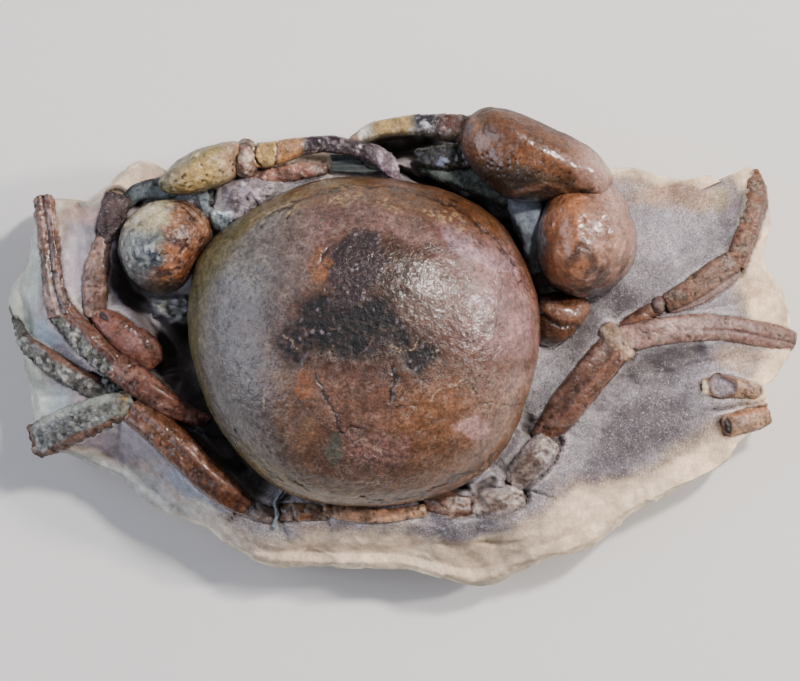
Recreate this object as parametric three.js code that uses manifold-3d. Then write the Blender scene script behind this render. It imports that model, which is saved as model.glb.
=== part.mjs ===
// Fossil crab lying back-up in the face of a split sandstone concretion, with its claws folded in front.
// Millimetres. +Z is up, out of the face that shows the crab, +Y runs towards the claws and +X to the crab's
// right. The stone rests on a flat spot under its middle. Every piece of the crab is a closed solid of its own,
// bedded in a socket that is cut into the stone.

import * as THREE from "three";
import { mergeVertices } from "three/addons/utils/BufferGeometryUtils.js";
import Module from "manifold-3d";

const wasm = await Module();
wasm.setup();

// ---------------------------------------------------------------- driving dimensions

const CLEARANCE = 0.3; // left all round each bedded piece
const STONE_COLUMNS = 64; // points round the stone's outline
const STONE_RIM_HEIGHT = 9.5; // where the upper and the lower side of the stone meet
const STONE_CLIFF_HEIGHT = 21; // the same line behind the claws, where the stone is thick
const STONE_FLAT_SHARE = 0.5; // share of the outline that is the flat spot underneath
const STONE_ROUGHNESS = 0.5; // height of the broad lumps that the split left
const SHELL_MIDDLE = [-9, 3];
const SHELL_RIM_HEIGHT = 31; // widest line of the carapace, above the flat spot
const SHELL_DOME = 28; // carapace above its widest line
const SHELL_BELLY = 9; // carapace below its widest line
const PEDESTAL_HEIGHT = 27; // stone left standing under the carapace
const PEDESTAL_RADII = [42, 38.5]; // of the pedestal's foot, along X and Y
const BANK_STEEPNESS = 8; // of the banks that carry the legs

// ---------------------------------------------------------------- finishes

function finish(color, roughness) {
  return new THREE.MeshStandardMaterial({ color, roughness, metalness: 0, flatShading: true });
}

const GREY_STONE = finish(0xa99f97, 0.9);
const BROWN_SHELL = finish(0x6f4630, 0.35);
const RED_SHELL = finish(0x7a4534, 0.4);
const TAN_SHELL = finish(0xa58450, 0.5);
const GREY_SHELL = finish(0x6d665c, 0.6);

// ---------------------------------------------------------------- solids

// A sphere's rows and columns of vertices, each moved to place(row, column). The first and last rows are poles.
function shapedSphere(columns, rows, place) {
  const geometry = new THREE.SphereGeometry(1, columns, rows);
  const position = geometry.getAttribute("position");
  for (let row = 0; row <= rows; row++) {
    for (let column = 0; column <= columns; column++) {
      const { x, y, z } = place(row, column % columns);
      position.setXYZ(row * (columns + 1) + column, x, y, z);
    }
  }
  return solidFrom(geometry);
}

function solidFrom(geometry) {
  const bare = new THREE.BufferGeometry();
  bare.setAttribute("position", geometry.getAttribute("position"));
  bare.setIndex(geometry.getIndex());
  const merged = mergeVertices(bare, 1e-4);
  return new wasm.Manifold(
    new wasm.Mesh({
      numProp: 3,
      vertProperties: merged.getAttribute("position").array,
      triVerts: new Uint32Array(merged.getIndex().array),
    }),
  );
}

// What a cut leaves, without its crumbs.
function largestBody(solid) {
  const bodies = solid.decompose();
  return bodies.reduce((best, body) => (body.volume() > best.volume() ? body : best));
}

// Evenly spaced points of the smooth closed curve through an outline's points, moved outwards by grow.
function smoothOutline(points, columns, grow = 0) {
  const curve = new THREE.CatmullRomCurve3(
    points.map(([x, y]) => new THREE.Vector3(x, y, 0)),
    true,
    "centripetal",
  );
  const spaced = curve.getSpacedPoints(columns).slice(0, columns);
  return spaced.map((point, index) => {
    const before = spaced[(index + columns - 1) % columns];
    const after = spaced[(index + 1) % columns];
    const along = after.clone().sub(before).normalize();
    return new THREE.Vector3(point.x + along.y * grow, point.y - along.x * grow, 0);
  });
}

// A rounded body: its outline lies at rimHeight, and it swells by dome above that and by belly below it.
// share runs from 0 at the middle to 1 at the outline, and fullness says how boxy the swelling is.
function pebble(form) {
  const { outline, middle, rimHeight, dome, belly, columns = 16, upperRows = 5, fullness = 2.3, grow = 0 } = form;
  const rim = smoothOutline(outline, columns, grow);
  const centre = middle ?? [
    rim.reduce((sum, point) => sum + point.x / columns, 0),
    rim.reduce((sum, point) => sum + point.y / columns, 0),
  ];
  const rows = upperRows + Math.max(2, Math.round(upperRows * 0.4));
  return shapedSphere(columns, rows, (row, column) => {
    const upper = row <= upperRows;
    const turn = upper ? row / upperRows : (rows - row) / (rows - upperRows);
    const share = Math.sin((turn * Math.PI) / 2);
    const swell = Math.max(0, 1 - share ** fullness) ** (1 / fullness);
    return {
      x: centre[0] + (rim[column].x - centre[0]) * share,
      y: centre[1] + (rim[column].y - centre[1]) * share,
      z: rimHeight + (upper ? (dome + grow) * swell : -(belly + grow) * swell),
    };
  });
}

// A limb joint: an oval tube along its middle line, with rounded ends.
// Each station is [x, y, z, half width, half height].
function limb({ stations, sides = 8, rows = 6, endShare = 0.16, grow = 0 }) {
  const line = new THREE.CatmullRomCurve3(stations.map(([x, y, z]) => new THREE.Vector3(x, y, z)));
  const up = new THREE.Vector3(0, 0, 1);
  const sizeAt = (share, item) => {
    const place = share * (stations.length - 1);
    const first = Math.min(Math.floor(place), stations.length - 2);
    return THREE.MathUtils.lerp(stations[first][item], stations[first + 1][item], place - first) + grow;
  };
  return shapedSphere(sides, rows, (row, column) => {
    const share = (1 - Math.cos((row / rows) * Math.PI)) / 2;
    const centre = line.getPoint(share);
    const along = line.getTangent(share);
    const side = up.clone().cross(along).normalize();
    const lift = along.clone().cross(side).normalize();
    const fromEnd = Math.min(share, 1 - share) / endShare;
    const roundness = fromEnd >= 1 ? 1 : Math.sqrt(1 - (1 - fromEnd) ** 2);
    const angle = (column / sides) * 2 * Math.PI;
    return centre
      .addScaledVector(along, grow * (share - 0.5) * 2)
      .addScaledVector(side, -Math.cos(angle) * sizeAt(share, 3) * roundness)
      .addScaledVector(lift, Math.sin(angle) * sizeAt(share, 4) * roundness);
  });
}

// ---------------------------------------------------------------- the crab

// Seen from above and counter-clockwise, like every outline here.
const CARAPACE = {
  outline: [
    [34.7, 5], [34.6, 10], [32, 18.9], [28.4, 26.2], [24, 32], [14.5, 38], [3.5, 40.9], [-8, 42.4],
    [-18.5, 42], [-30.2, 38], [-38.2, 33.5], [-45.2, 28.5], [-50, 23.2], [-52, 14.7], [-52.7, 6.5],
    [-51.7, -1.5], [-48.7, -11.5], [-44.5, -20.2], [-38.2, -28], [-31, -34.5], [-25, -37.2],
    [-12.5, -39.2], [0, -38.7], [10, -36.5], [18, -32.5], [24.7, -27.2], [27.7, -22.2], [31.2, -13.4],
    [34.2, -2.4],
  ],
  middle: SHELL_MIDDLE,
  rimHeight: SHELL_RIM_HEIGHT,
  dome: SHELL_DOME,
  belly: SHELL_BELLY,
  columns: 36,
  upperRows: 8,
  fullness: 2.25,
};

const LEFT_WRIST = {
  outline: [
    [-46.2, 28], [-47.5, 32.5], [-51.9, 35.9], [-57, 36.8], [-61.5, 36.2], [-65.9, 33.6], [-68.7, 30.1],
    [-70, 24.5], [-68.1, 19.3], [-65.2, 15.7], [-60.1, 13.4], [-56.3, 13.9], [-53.1, 16.7], [-49, 23.7],
  ],
  rimHeight: 28,
  dome: 16,
  belly: 9,
  columns: 20,
  upperRows: 6,
};

const LEFT_PALM = {
  outline: [
    [-40.7, 44.5], [-40.5, 48], [-40.9, 51], [-45, 50.5], [-51, 48.4], [-56, 45.4], [-59.8, 41.4],
    [-60.2, 39.6], [-56.9, 38.5], [-50.4, 38.5], [-45.4, 40.2], [-42, 41.6],
  ],
  rimHeight: 31,
  dome: 9,
  belly: 6,
  columns: 18,
};

const LEFT_HINGE = {
  outline: [
    [-35.8, 47.8], [-35.8, 50.2], [-37.6, 51.3], [-39.4, 51.2], [-40.3, 48], [-40.5, 44], [-38.6, 42.4],
    [-36.3, 42.8], [-35.7, 45.2],
  ],
  rimHeight: 30,
  dome: 7,
  belly: 5,
  columns: 12,
  upperRows: 4,
};

const RIGHT_WRIST = {
  outline: [
    [59.2, 26.5], [58.5, 30.7], [56.2, 34.7], [53, 38.5], [47.5, 40.7], [40, 39.9], [36.6, 37],
    [34.5, 31.7], [33.7, 24.7], [35.7, 17.7], [40, 13.7], [46.5, 12.7], [53.2, 15.5], [57.7, 20.2],
  ],
  rimHeight: 26,
  dome: 19,
  belly: 8,
  columns: 20,
  upperRows: 6,
};

const RIGHT_PALM = {
  outline: [
    [52.4, 42.4], [49.5, 47], [45.5, 50.7], [39.7, 53.2], [31, 57.5], [24.5, 59.3], [20.5, 59.4],
    [17, 57.5], [15.2, 54.5], [14.3, 51], [15.4, 48.2], [18.5, 43.5], [24, 38.4], [29.5, 36], [36, 36.6],
    [44, 38.6], [50.5, 39.4],
  ],
  rimHeight: 34,
  dome: 13,
  belly: 9,
  columns: 20,
};

const RIGHT_ARM = {
  outline: [
    [46.9, 11.4], [42, 14], [35.2, 12.5], [33.6, 6], [34.5, 1.2], [37.8, 0.4], [41.4, 2], [44.8, 5],
    [46.8, 8.5],
  ],
  rimHeight: 23,
  dome: 6,
  belly: 4,
  columns: 14,
  upperRows: 4,
};

const RIGHT_KNUCKLE = {
  outline: [[66.5, 10.6], [65.6, 12.8], [63.6, 13], [62.2, 10.9], [62.9, 8.5], [65.4, 8.4]],
  rimHeight: 24.5,
  dome: 3,
  belly: 2.5,
  columns: 10,
  upperRows: 4,
};

// Every piece of the crab. A piece is cut clear of those above it in the list, which lie over it.
const CRAB = [
  ["carapace", BROWN_SHELL, pebble, CARAPACE],
  ["right_claw_wrist", BROWN_SHELL, pebble, RIGHT_WRIST],
  ["right_claw_palm", BROWN_SHELL, pebble, RIGHT_PALM],
  ["right_claw_arm", BROWN_SHELL, pebble, RIGHT_ARM],
  ["right_claw_upper_finger", TAN_SHELL, limb, {
    stations: [
      [-12.4, 52.3, 31, 0.9, 1], [-8, 53.8, 32, 1.6, 1.6], [-2, 55, 33, 2.2, 2.3], [4, 55, 34, 2.7, 2.8],
      [10.5, 54.3, 34.5, 3.4, 3.4], [15.4, 54.2, 34.5, 3.5, 3.6],
    ],
    rows: 8,
    endShare: 0.1,
  }],
  ["right_claw_lower_finger", GREY_SHELL, limb, {
    stations: [[6, 47.5, 28, 2, 2], [10, 47.4, 29.5, 2.9, 2.8], [16, 47.8, 31, 3, 3]],
    rows: 5,
  }],
  ["left_claw_palm", TAN_SHELL, pebble, LEFT_PALM],
  ["left_claw_wrist", BROWN_SHELL, pebble, LEFT_WRIST],
  ["left_claw_hinge", GREY_SHELL, pebble, LEFT_HINGE],
  ["left_claw_upper_finger", TAN_SHELL, limb, {
    stations: [
      [-36.4, 47.8, 32.5, 3, 2.9], [-31.2, 48.3, 33, 2.9, 2.9], [-24.5, 50, 33.2, 2.3, 2.3],
      [-18.7, 50.7, 33, 2, 2], [-12.5, 50.2, 33, 2, 2], [-7, 49, 32.6, 2, 2], [-3.2, 46.8, 32, 1.9, 2],
      [-1.4, 43.9, 31, 1.5, 1.6],
    ],
    rows: 11,
    endShare: 0.08,
  }],
  ["left_claw_lower_finger", TAN_SHELL, limb, {
    stations: [
      [-38.8, 41.9, 29.5, 1.8, 2], [-34.5, 43, 30.5, 2.4, 2.4], [-27.5, 43.7, 30.5, 2.3, 2.3],
      [-19.5, 44.7, 30, 1.2, 1.2],
    ],
  }],
  ["left_leg_1_shin", RED_SHELL, limb, {
    stations: [
      [-74.4, 26.2, 24.2, 2, 2], [-75, 21, 25, 3.1, 3], [-75.7, 14, 25, 3.3, 3.1], [-76.8, 8, 24.5, 2, 2.2],
    ],
  }],
  ["left_leg_1_foot", GREY_SHELL, limb, {
    stations: [[-69.8, 37.6, 23.5, 3.1, 3], [-71.5, 33.5, 24.5, 3.6, 3.4], [-73.2, 27.4, 24.5, 2.7, 3]],
  }],
  ["left_leg_1_thigh", RED_SHELL, limb, {
    stations: [
      [-74.6, 8, 24.2, 2.6, 2.6], [-69.5, 6.1, 25.4, 4.5, 3.6], [-65, 2.4, 25.4, 4.8, 3.8],
      [-61.2, -1.2, 24, 3.6, 3],
    ],
  }],
  ["left_leg_2_knee", GREY_SHELL, limb, {
    stations: [
      [-84.4, 10, 25.4, 3, 2.6], [-81.2, 6.2, 26, 3.4, 2.9], [-76.4, 0.8, 26.6, 3.5, 3],
      [-72, -4.4, 26.8, 3.1, 2.8],
    ],
  }],
  ["left_leg_2_thigh", RED_SHELL, limb, {
    stations: [
      [-71, -3.2, 26.8, 3.1, 3], [-65, -6.9, 27.4, 3.3, 3.2], [-57.5, -12.2, 26.6, 3.2, 3.2],
      [-48.6, -18, 23.6, 2.6, 2.6],
    ],
  }],
  ["left_leg_2_foot", RED_SHELL, limb, {
    stations: [
      [-88.8, 37, 23.2, 2, 2], [-87.6, 28, 25, 2.5, 2.5], [-86.2, 19, 25.6, 2.6, 2.7],
      [-84.6, 10.6, 25.6, 2.7, 2.6],
    ],
    rows: 7,
  }],
  ["left_leg_4_thigh", RED_SHELL, limb, {
    stations: [
      [-66.6, -14.4, 26, 3.2, 3], [-57.5, -22.4, 27.4, 4.1, 3.9], [-48.2, -30.4, 27.4, 4, 3.9],
      [-38.4, -38.5, 26, 3.3, 3.2],
    ],
    rows: 7,
  }],
  ["left_leg_4_foot", GREY_SHELL, limb, {
    stations: [
      [-91.4, -22.4, 16, 3.3, 2.6], [-87, -20.4, 19.6, 4.5, 3.2], [-81, -18, 22.6, 4.2, 3.6],
      [-74.2, -15.4, 24.6, 3.6, 3.2], [-67.4, -13.2, 25.4, 2.6, 2.6],
    ],
    rows: 7,
  }],
  ["left_leg_3_foot", GREY_SHELL, limb, {
    stations: [
      [-96, 7.6, 16.4, 0.9, 1], [-94, 1.6, 19, 1.8, 1.8], [-90, -2, 21, 2.4, 2.2],
      [-83.5, -5.2, 22.4, 2.6, 2.4], [-77.5, -8.2, 22.4, 2.5, 2.4], [-71.4, -10.6, 21.6, 2.1, 2],
    ],
    rows: 7,
  }],
  ["tail_rim", RED_SHELL, limb, {
    stations: [[-18.8, -41, 27.4, 1.7, 2.4], [-6.5, -41.8, 28, 2, 3], [5.8, -40.8, 27.6, 1.7, 2.6]],
  }],
  ["left_hip_3", GREY_SHELL, limb, {
    stations: [[-37.2, -40.6, 25, 2.1, 2.1], [-34, -41.8, 26, 2.4, 2.6], [-30.6, -42, 25.4, 1.8, 2.1]],
    rows: 5,
  }],
  ["left_hip_4", RED_SHELL, limb, {
    stations: [[-29, -40.8, 26, 1.9, 2], [-24.4, -41.4, 27, 2.3, 2.6], [-19.8, -41.2, 26.4, 1.7, 2]],
    rows: 5,
  }],
  ["right_hip_4", RED_SHELL, limb, {
    stations: [[7.2, -39.4, 25.4, 2.7, 2.6], [12, -39.6, 26.6, 3.6, 3.2], [16.9, -39.2, 26, 2.8, 2.8]],
    rows: 5,
  }],
  ["right_hip_3", GREY_SHELL, limb, {
    stations: [[19, -38, 25.2, 3.2, 2.8], [24, -37.9, 26.4, 4.3, 3.4], [30, -37.5, 24.6, 3.2, 2.6]],
    rows: 5,
  }],
  ["right_hip_2", GREY_SHELL, limb, {
    stations: [[29.6, -32, 24.6, 3.2, 3], [33, -28, 26, 4.9, 3.8], [37, -23.4, 25, 4, 3]],
    rows: 5,
  }],
  ["right_leg_2_knee", GREY_SHELL, limb, {
    stations: [[52.2, 4.6, 27.4, 2, 2], [54, 1.6, 28, 2.4, 2.8], [56, -1.8, 27.2, 1.9, 2]],
    rows: 5,
  }],
  ["right_leg_2_thigh", RED_SHELL, limb, {
    stations: [
      [37.6, -20.6, 22.4, 3.4, 3.2], [42, -13.4, 25.4, 4.5, 4.2], [48, -5.4, 26.8, 4.6, 4.4],
      [53, 0.4, 26.8, 3.6, 3.4],
    ],
    rows: 7,
  }],
  ["right_leg_2_shin", TAN_SHELL, limb, {
    stations: [
      [54.6, 2.2, 26.6, 3.2, 3.2], [62.5, 3.9, 26.6, 4.1, 3.6], [71, 5, 24.8, 3.8, 3.2],
      [80, 4.9, 22.4, 3.7, 3], [89, 3.9, 19, 3.4, 2.8], [97.4, 1.9, 13, 2.8, 2.4],
    ],
    rows: 9,
    endShare: 0.1,
  }],
  ["right_leg_1_knuckle", RED_SHELL, pebble, RIGHT_KNUCKLE],
  ["right_leg_1_thigh", RED_SHELL, limb, {
    stations: [[55.4, 6.2, 23.4, 1.6, 1.8], [58.8, 7.9, 24, 2.1, 2.2], [62.2, 9.8, 23.8, 2, 2.2]],
    rows: 5,
  }],
  ["right_leg_1_shin", RED_SHELL, limb, {
    stations: [
      [66.6, 11, 24.2, 2.8, 2.6], [72.5, 14, 24.8, 3.9, 3], [78.4, 17.8, 24, 4.3, 3.2],
      [84, 21.6, 22.6, 3.2, 2.8],
    ],
  }],
  ["right_leg_1_foot", RED_SHELL, limb, {
    stations: [
      [84.2, 21.8, 22.6, 3, 2.6], [86.2, 27.7, 22, 3.2, 2.6], [87.7, 34.7, 20, 3, 2.4],
      [89.2, 42.4, 15, 2, 1.8],
    ],
  }],
  ["right_leg_3_stub", GREY_SHELL, limb, {
    stations: [
      [74.8, -10.4, 21, 1.8, 1.6], [80, -9.9, 21, 3.1, 2.2], [84, -10.2, 20.2, 2.7, 2],
      [88.4, -11, 18.6, 1.5, 1.4],
    ],
  }],
  ["right_leg_4_stub", RED_SHELL, limb, {
    stations: [[81.2, -19.9, 17.6, 3, 2.4], [86.5, -18.4, 15.6, 3, 2.4], [91.2, -16.9, 12.4, 2.3, 2]],
    rows: 5,
  }],
];

// ---------------------------------------------------------------- the stone

const STONE_OUTLINE = [
  [99.3, 1.6], [98.4, 6.5], [97, 12.5], [94, 17], [91.4, 21.7], [90.8, 26], [92, 32.2], [92.7, 38.5],
  [91, 42.7], [88.7, 45.4], [85.8, 44.5], [80.5, 42], [75, 43], [70, 42.5], [63.7, 44.2], [58.7, 45.5],
  [53, 45.4], [47, 47.6], [39, 51], [31, 54], [22, 55], [15, 53], [5, 53], [-3, 52], [-12, 50.4],
  [-22, 50.2], [-32, 49.6], [-41, 49], [-50, 46], [-55, 43.6], [-58.5, 44.2], [-62, 46.4], [-66.2, 46.2],
  [-70, 43.8], [-74.7, 40.4], [-78.2, 37.5], [-86.4, 37.7], [-88.9, 37.2], [-91.5, 34.4], [-92.7, 27.4],
  [-94, 21.1], [-97.4, 16], [-98.6, 10.3], [-96.8, 2.7], [-95.3, -2.3], [-92.9, -12.5], [-92.1, -19.7],
  [-91.2, -26.4], [-84.2, -26.5], [-79.1, -28.9], [-69.6, -33.7], [-64.5, -38.5], [-59.5, -41.1],
  [-49.3, -45.4], [-41.4, -50.9], [-34.2, -54.6], [-22.8, -55.2], [-6, -55.5], [2.4, -56.1],
  [12.6, -58.5], [18, -59.7], [24, -59.4], [31.5, -55.8], [41.5, -52.2], [49, -49.5], [57.5, -43],
  [68.5, -36], [75, -33], [81.5, -29.2], [85.5, -23.5], [92.2, -18.5], [92.6, -14], [94.2, -9.5],
  [98, -1.5],
];

// Shares of the outline at which the rows of the stone's upper and lower sides lie.
const UPPER_SHARES = [0, 0.28, 0.43, 0.52, 0.6, 0.68, 0.75, 0.82, 0.88, 0.93, 0.97, 1];
const LOWER_SHARES = [0.92, 0.75, STONE_FLAT_SHARE, 0];

// Spot heights of the face, [x, y, height], as on a map.
const SPOTS = [
  // trench between the carapace and the left legs
  [-56, 8, 15], [-58, -2, 14], [-56, -8, 13], [-51, -20, 14], [-45, -28, 16], [-37, -34, 19],
  // round the left wrist and the left legs
  [-71, 17, 18], [-65, 10, 17], [-80, 30, 24], [-81, 20, 24], [-80, 13, 24], [-74, 41, 21], [-65, 42, 22],
  [-90, 12, 22], [-92, 4, 20], [-88, 2, 21], [-78, -4, 22], [-87, -10, 20], [-78, -12, 21], [-90, -16, 18],
  // lower left slope
  [-80, -25, 15], [-68, -28, 20], [-58, -34, 21], [-48, -40, 21],
  // broken rock between the left claw and the carapace
  [-44, 36, 35], [-37, 39, 33], [-48, 34, 31], [-30, 46, 29], [-20, 46, 29],
  // under the fingers
  [-10, 46, 30], [0, 47, 24], [8, 50, 26], [12, 44, 21],
  // trench between the carapace and the right claw, with the web of stone that closes it
  [18, 40, 19], [27, 33, 18], [33, 31, 25], [33, 24, 20], [36, 15, 17], [30, 46, 26],
  // field on the right
  [40, -3, 21], [44, -1, 21], [60, 16, 23], [62, 30, 23], [66, 38, 22], [76, 32, 22], [75, 24, 22],
  [84, 36, 18], [93, 15, 17], [90, 14, 20], [82, 11, 22], [58, -8, 21], [68, -3, 20], [80, -2, 20],
  [93, -4, 18], [60, -18, 24], [74, -15, 21], [50, -28, 25], [42, -18, 24], [86, -14, 18], [66, -28, 21],
  [78, -24, 17], [37, -8, 19],
  // lower rim
  [38, -38, 25], [30, -45, 25], [52, -38, 20], [14, -46, 26], [-2, -47, 26], [-18, -47, 26], [-32, -46, 24],
  [20, -54, 19], [0, -52, 20], [-20, -51, 20],
];
const SPOT_BLUR = 3.2; // distance within which a spot height reads the same

function spotHeight(x, y) {
  let weighed = 0;
  let weights = 0;
  for (const [spotX, spotY, height] of SPOTS) {
    const weight = 1 / ((x - spotX) ** 2 + (y - spotY) ** 2 + SPOT_BLUR ** 2) ** 2;
    weighed += weight * height;
    weights += weight;
  }
  return weighed / weights;
}

// The stone left standing under the carapace, which hides all but its foot.
function pedestalHeight(x, y) {
  const out = Math.hypot((x - SHELL_MIDDLE[0]) / PEDESTAL_RADII[0], (y - SHELL_MIDDLE[1]) / PEDESTAL_RADII[1]);
  return PEDESTAL_HEIGHT - 90 * Math.max(0, out - 0.9);
}

// A bank of stone under each limb joint, so that the joint lies in rock and not over a trench.
function bankHeight(x, y) {
  let highest = 0;
  for (const [, , shape, form] of CRAB) {
    if (shape !== limb) continue;
    for (let index = 1; index < form.stations.length; index++) {
      const [x0, y0, z0, width, height] = form.stations[index - 1];
      const [x1, y1, z1] = form.stations[index];
      const length = (x1 - x0) ** 2 + (y1 - y0) ** 2;
      const share = THREE.MathUtils.clamp(((x - x0) * (x1 - x0) + (y - y0) * (y1 - y0)) / length, 0, 1);
      const away = Math.hypot(x - x0 - (x1 - x0) * share, y - y0 - (y1 - y0) * share);
      const middle = z0 + (z1 - z0) * share;
      const drop = BANK_STEEPNESS * Math.max(0, away / width - 0.8) ** 2;
      highest = Math.max(highest, middle - height * 0.35 - drop);
    }
  }
  return highest;
}

function lumps(x, y) {
  const short = Math.sin(x * 0.31 + y * 0.13) * Math.cos(y * 0.27 - x * 0.09);
  const long = Math.sin(x * 0.11 - y * 0.37);
  return STONE_ROUGHNESS * (short + long);
}

function stoneSlab() {
  const rim = smoothOutline(STONE_OUTLINE, STONE_COLUMNS);
  const rows = UPPER_SHARES.length + LOWER_SHARES.length - 1;
  return shapedSphere(STONE_COLUMNS, rows, (row, column) => {
    const upper = row < UPPER_SHARES.length;
    const share = upper ? UPPER_SHARES[row] : LOWER_SHARES[row - UPPER_SHARES.length];
    const x = rim[column].x * share;
    const y = rim[column].y * share;
    const behindClaws = THREE.MathUtils.smoothstep(rim[column].y, 40, 50);
    const rimHeight = THREE.MathUtils.lerp(STONE_RIM_HEIGHT, STONE_CLIFF_HEIGHT, behindClaws);
    if (upper) {
      const face = Math.max(spotHeight(x, y), bankHeight(x, y), pedestalHeight(x, y)) + lumps(x, y);
      return { x, y, z: rimHeight + (face - rimHeight) * Math.sqrt(1 - share ** 14) };
    }
    const climb = Math.max(0, (share - STONE_FLAT_SHARE) / (1 - STONE_FLAT_SHARE));
    return { x, y, z: rimHeight * climb ** 1.7 + lumps(y, x) * climb * (1 - climb) };
  });
}

// ---------------------------------------------------------------- assembly

function meshOf(solid, name, material) {
  const { numProp, vertProperties, triVerts } = solid.getMesh();
  const geometry = new THREE.BufferGeometry();
  const positions = new Float32Array((vertProperties.length / numProp) * 3);
  for (let vertex = 0; vertex * numProp < vertProperties.length; vertex++) {
    positions.set(vertProperties.subarray(vertex * numProp, vertex * numProp + 3), vertex * 3);
  }
  geometry.setAttribute("position", new THREE.BufferAttribute(positions, 3));
  geometry.setIndex(new THREE.BufferAttribute(triVerts, 1));
  const mesh = new THREE.Mesh(geometry, material);
  mesh.name = name;
  return mesh;
}

const group = new THREE.Group();
let stone = stoneSlab();
let sockets = null; // of everything laid so far
for (const [name, material, shape, form] of CRAB) {
  const solid = shape(form);
  const socket = shape({ ...form, grow: CLEARANCE });
  group.add(meshOf(sockets ? largestBody(solid.subtract(sockets)) : solid, name, material));
  sockets = sockets ? sockets.add(socket) : socket;
  stone = stone.subtract(socket);
}
group.add(meshOf(largestBody(stone), "stone_slab", GREY_STONE));

// The origin is under the middle of the whole specimen, on the plane that it rests on.
const extent = new THREE.Box3().setFromObject(group);
const middle = extent.getCenter(new THREE.Vector3());
group.position.set(-middle.x, -middle.y, -extent.min.z);

export default group;
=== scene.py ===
import collections
import itertools
import math

import bpy
import numpy as np
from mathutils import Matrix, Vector
from mathutils.bvhtree import BVHTree


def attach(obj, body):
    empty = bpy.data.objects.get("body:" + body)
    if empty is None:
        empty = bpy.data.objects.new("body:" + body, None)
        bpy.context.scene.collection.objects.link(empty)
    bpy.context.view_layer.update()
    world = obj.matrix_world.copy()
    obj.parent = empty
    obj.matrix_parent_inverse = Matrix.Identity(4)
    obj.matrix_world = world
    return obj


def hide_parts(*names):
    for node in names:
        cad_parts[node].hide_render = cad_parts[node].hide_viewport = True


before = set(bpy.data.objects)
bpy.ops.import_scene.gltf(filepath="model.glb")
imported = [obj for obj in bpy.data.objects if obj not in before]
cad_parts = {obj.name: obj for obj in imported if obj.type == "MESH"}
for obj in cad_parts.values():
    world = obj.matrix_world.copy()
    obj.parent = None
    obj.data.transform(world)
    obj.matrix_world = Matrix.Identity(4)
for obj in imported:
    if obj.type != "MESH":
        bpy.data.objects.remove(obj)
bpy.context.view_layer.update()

# A fossil crab lying back-up in the face of a split sandstone concretion.
# Shapes and markings are worked out in millimetres, from the point DATUM of the frame: +X towards the crab's
# right, +Y towards its claws, +Z out of the face.
MM = 0.001
DATUM = np.array([-0.356, 0.252, 0.0])
SHELL_MIDDLE = np.array([-9.0, 3.0])

# ---------------------------------------------------------------- shapes

# The stone's outline, counter-clockwise from the middle of the right end.
STONE_OUTLINE = [
    (99.3, 1.6), (98.4, 6.5), (97, 12.5), (94.4, 16.6), (91.8, 20.4), (91, 26), (92.4, 29.4), (92.8, 37.4),
    (91.6, 41.4), (88.7, 45.4), (85.6, 44.6), (80.6, 42), (77.4, 43.2), (70, 42.5), (63.7, 44.2),
    (58.7, 45.5), (53, 45.4), (47, 47.6), (39, 51), (31, 54), (22, 55.4), (15, 54.6), (5, 55), (-3, 53.8),
    (-12, 51), (-22, 50.2), (-32, 49.6), (-41, 49), (-50, 46), (-55, 43.6), (-58.5, 44.6), (-62, 46.4),
    (-66.2, 46.2), (-70, 43.8), (-74.7, 40.4), (-78.2, 37.5), (-86.4, 37.7), (-88.9, 37.2), (-91.5, 34.4),
    (-92.7, 27.4), (-94, 21.1), (-97.4, 16), (-98.6, 10.3), (-96.8, 2.7), (-95.3, -2.3), (-92.9, -12.5),
    (-92.1, -19.7), (-92.4, -21), (-90.4, -22), (-91.2, -26.4), (-84.2, -26.5), (-79.1, -28.9),
    (-69.6, -33.7), (-64.5, -38.5), (-59.5, -41.1), (-49.3, -45.4), (-41.4, -50.9), (-34.2, -54.6),
    (-22.8, -55.2), (-6, -55.5), (2.4, -56.1), (12.6, -58.5), (18, -59.7), (24, -59.4), (31.5, -55.8),
    (41.5, -52.2), (49, -49.5), (57.5, -43), (68.5, -36), (75, -33), (81.5, -29.2), (85.5, -23.5),
    (92.2, -18.5), (92.6, -14), (92.2, -9.5), (94.6, -7.6), (98, -1.5),
]

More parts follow.
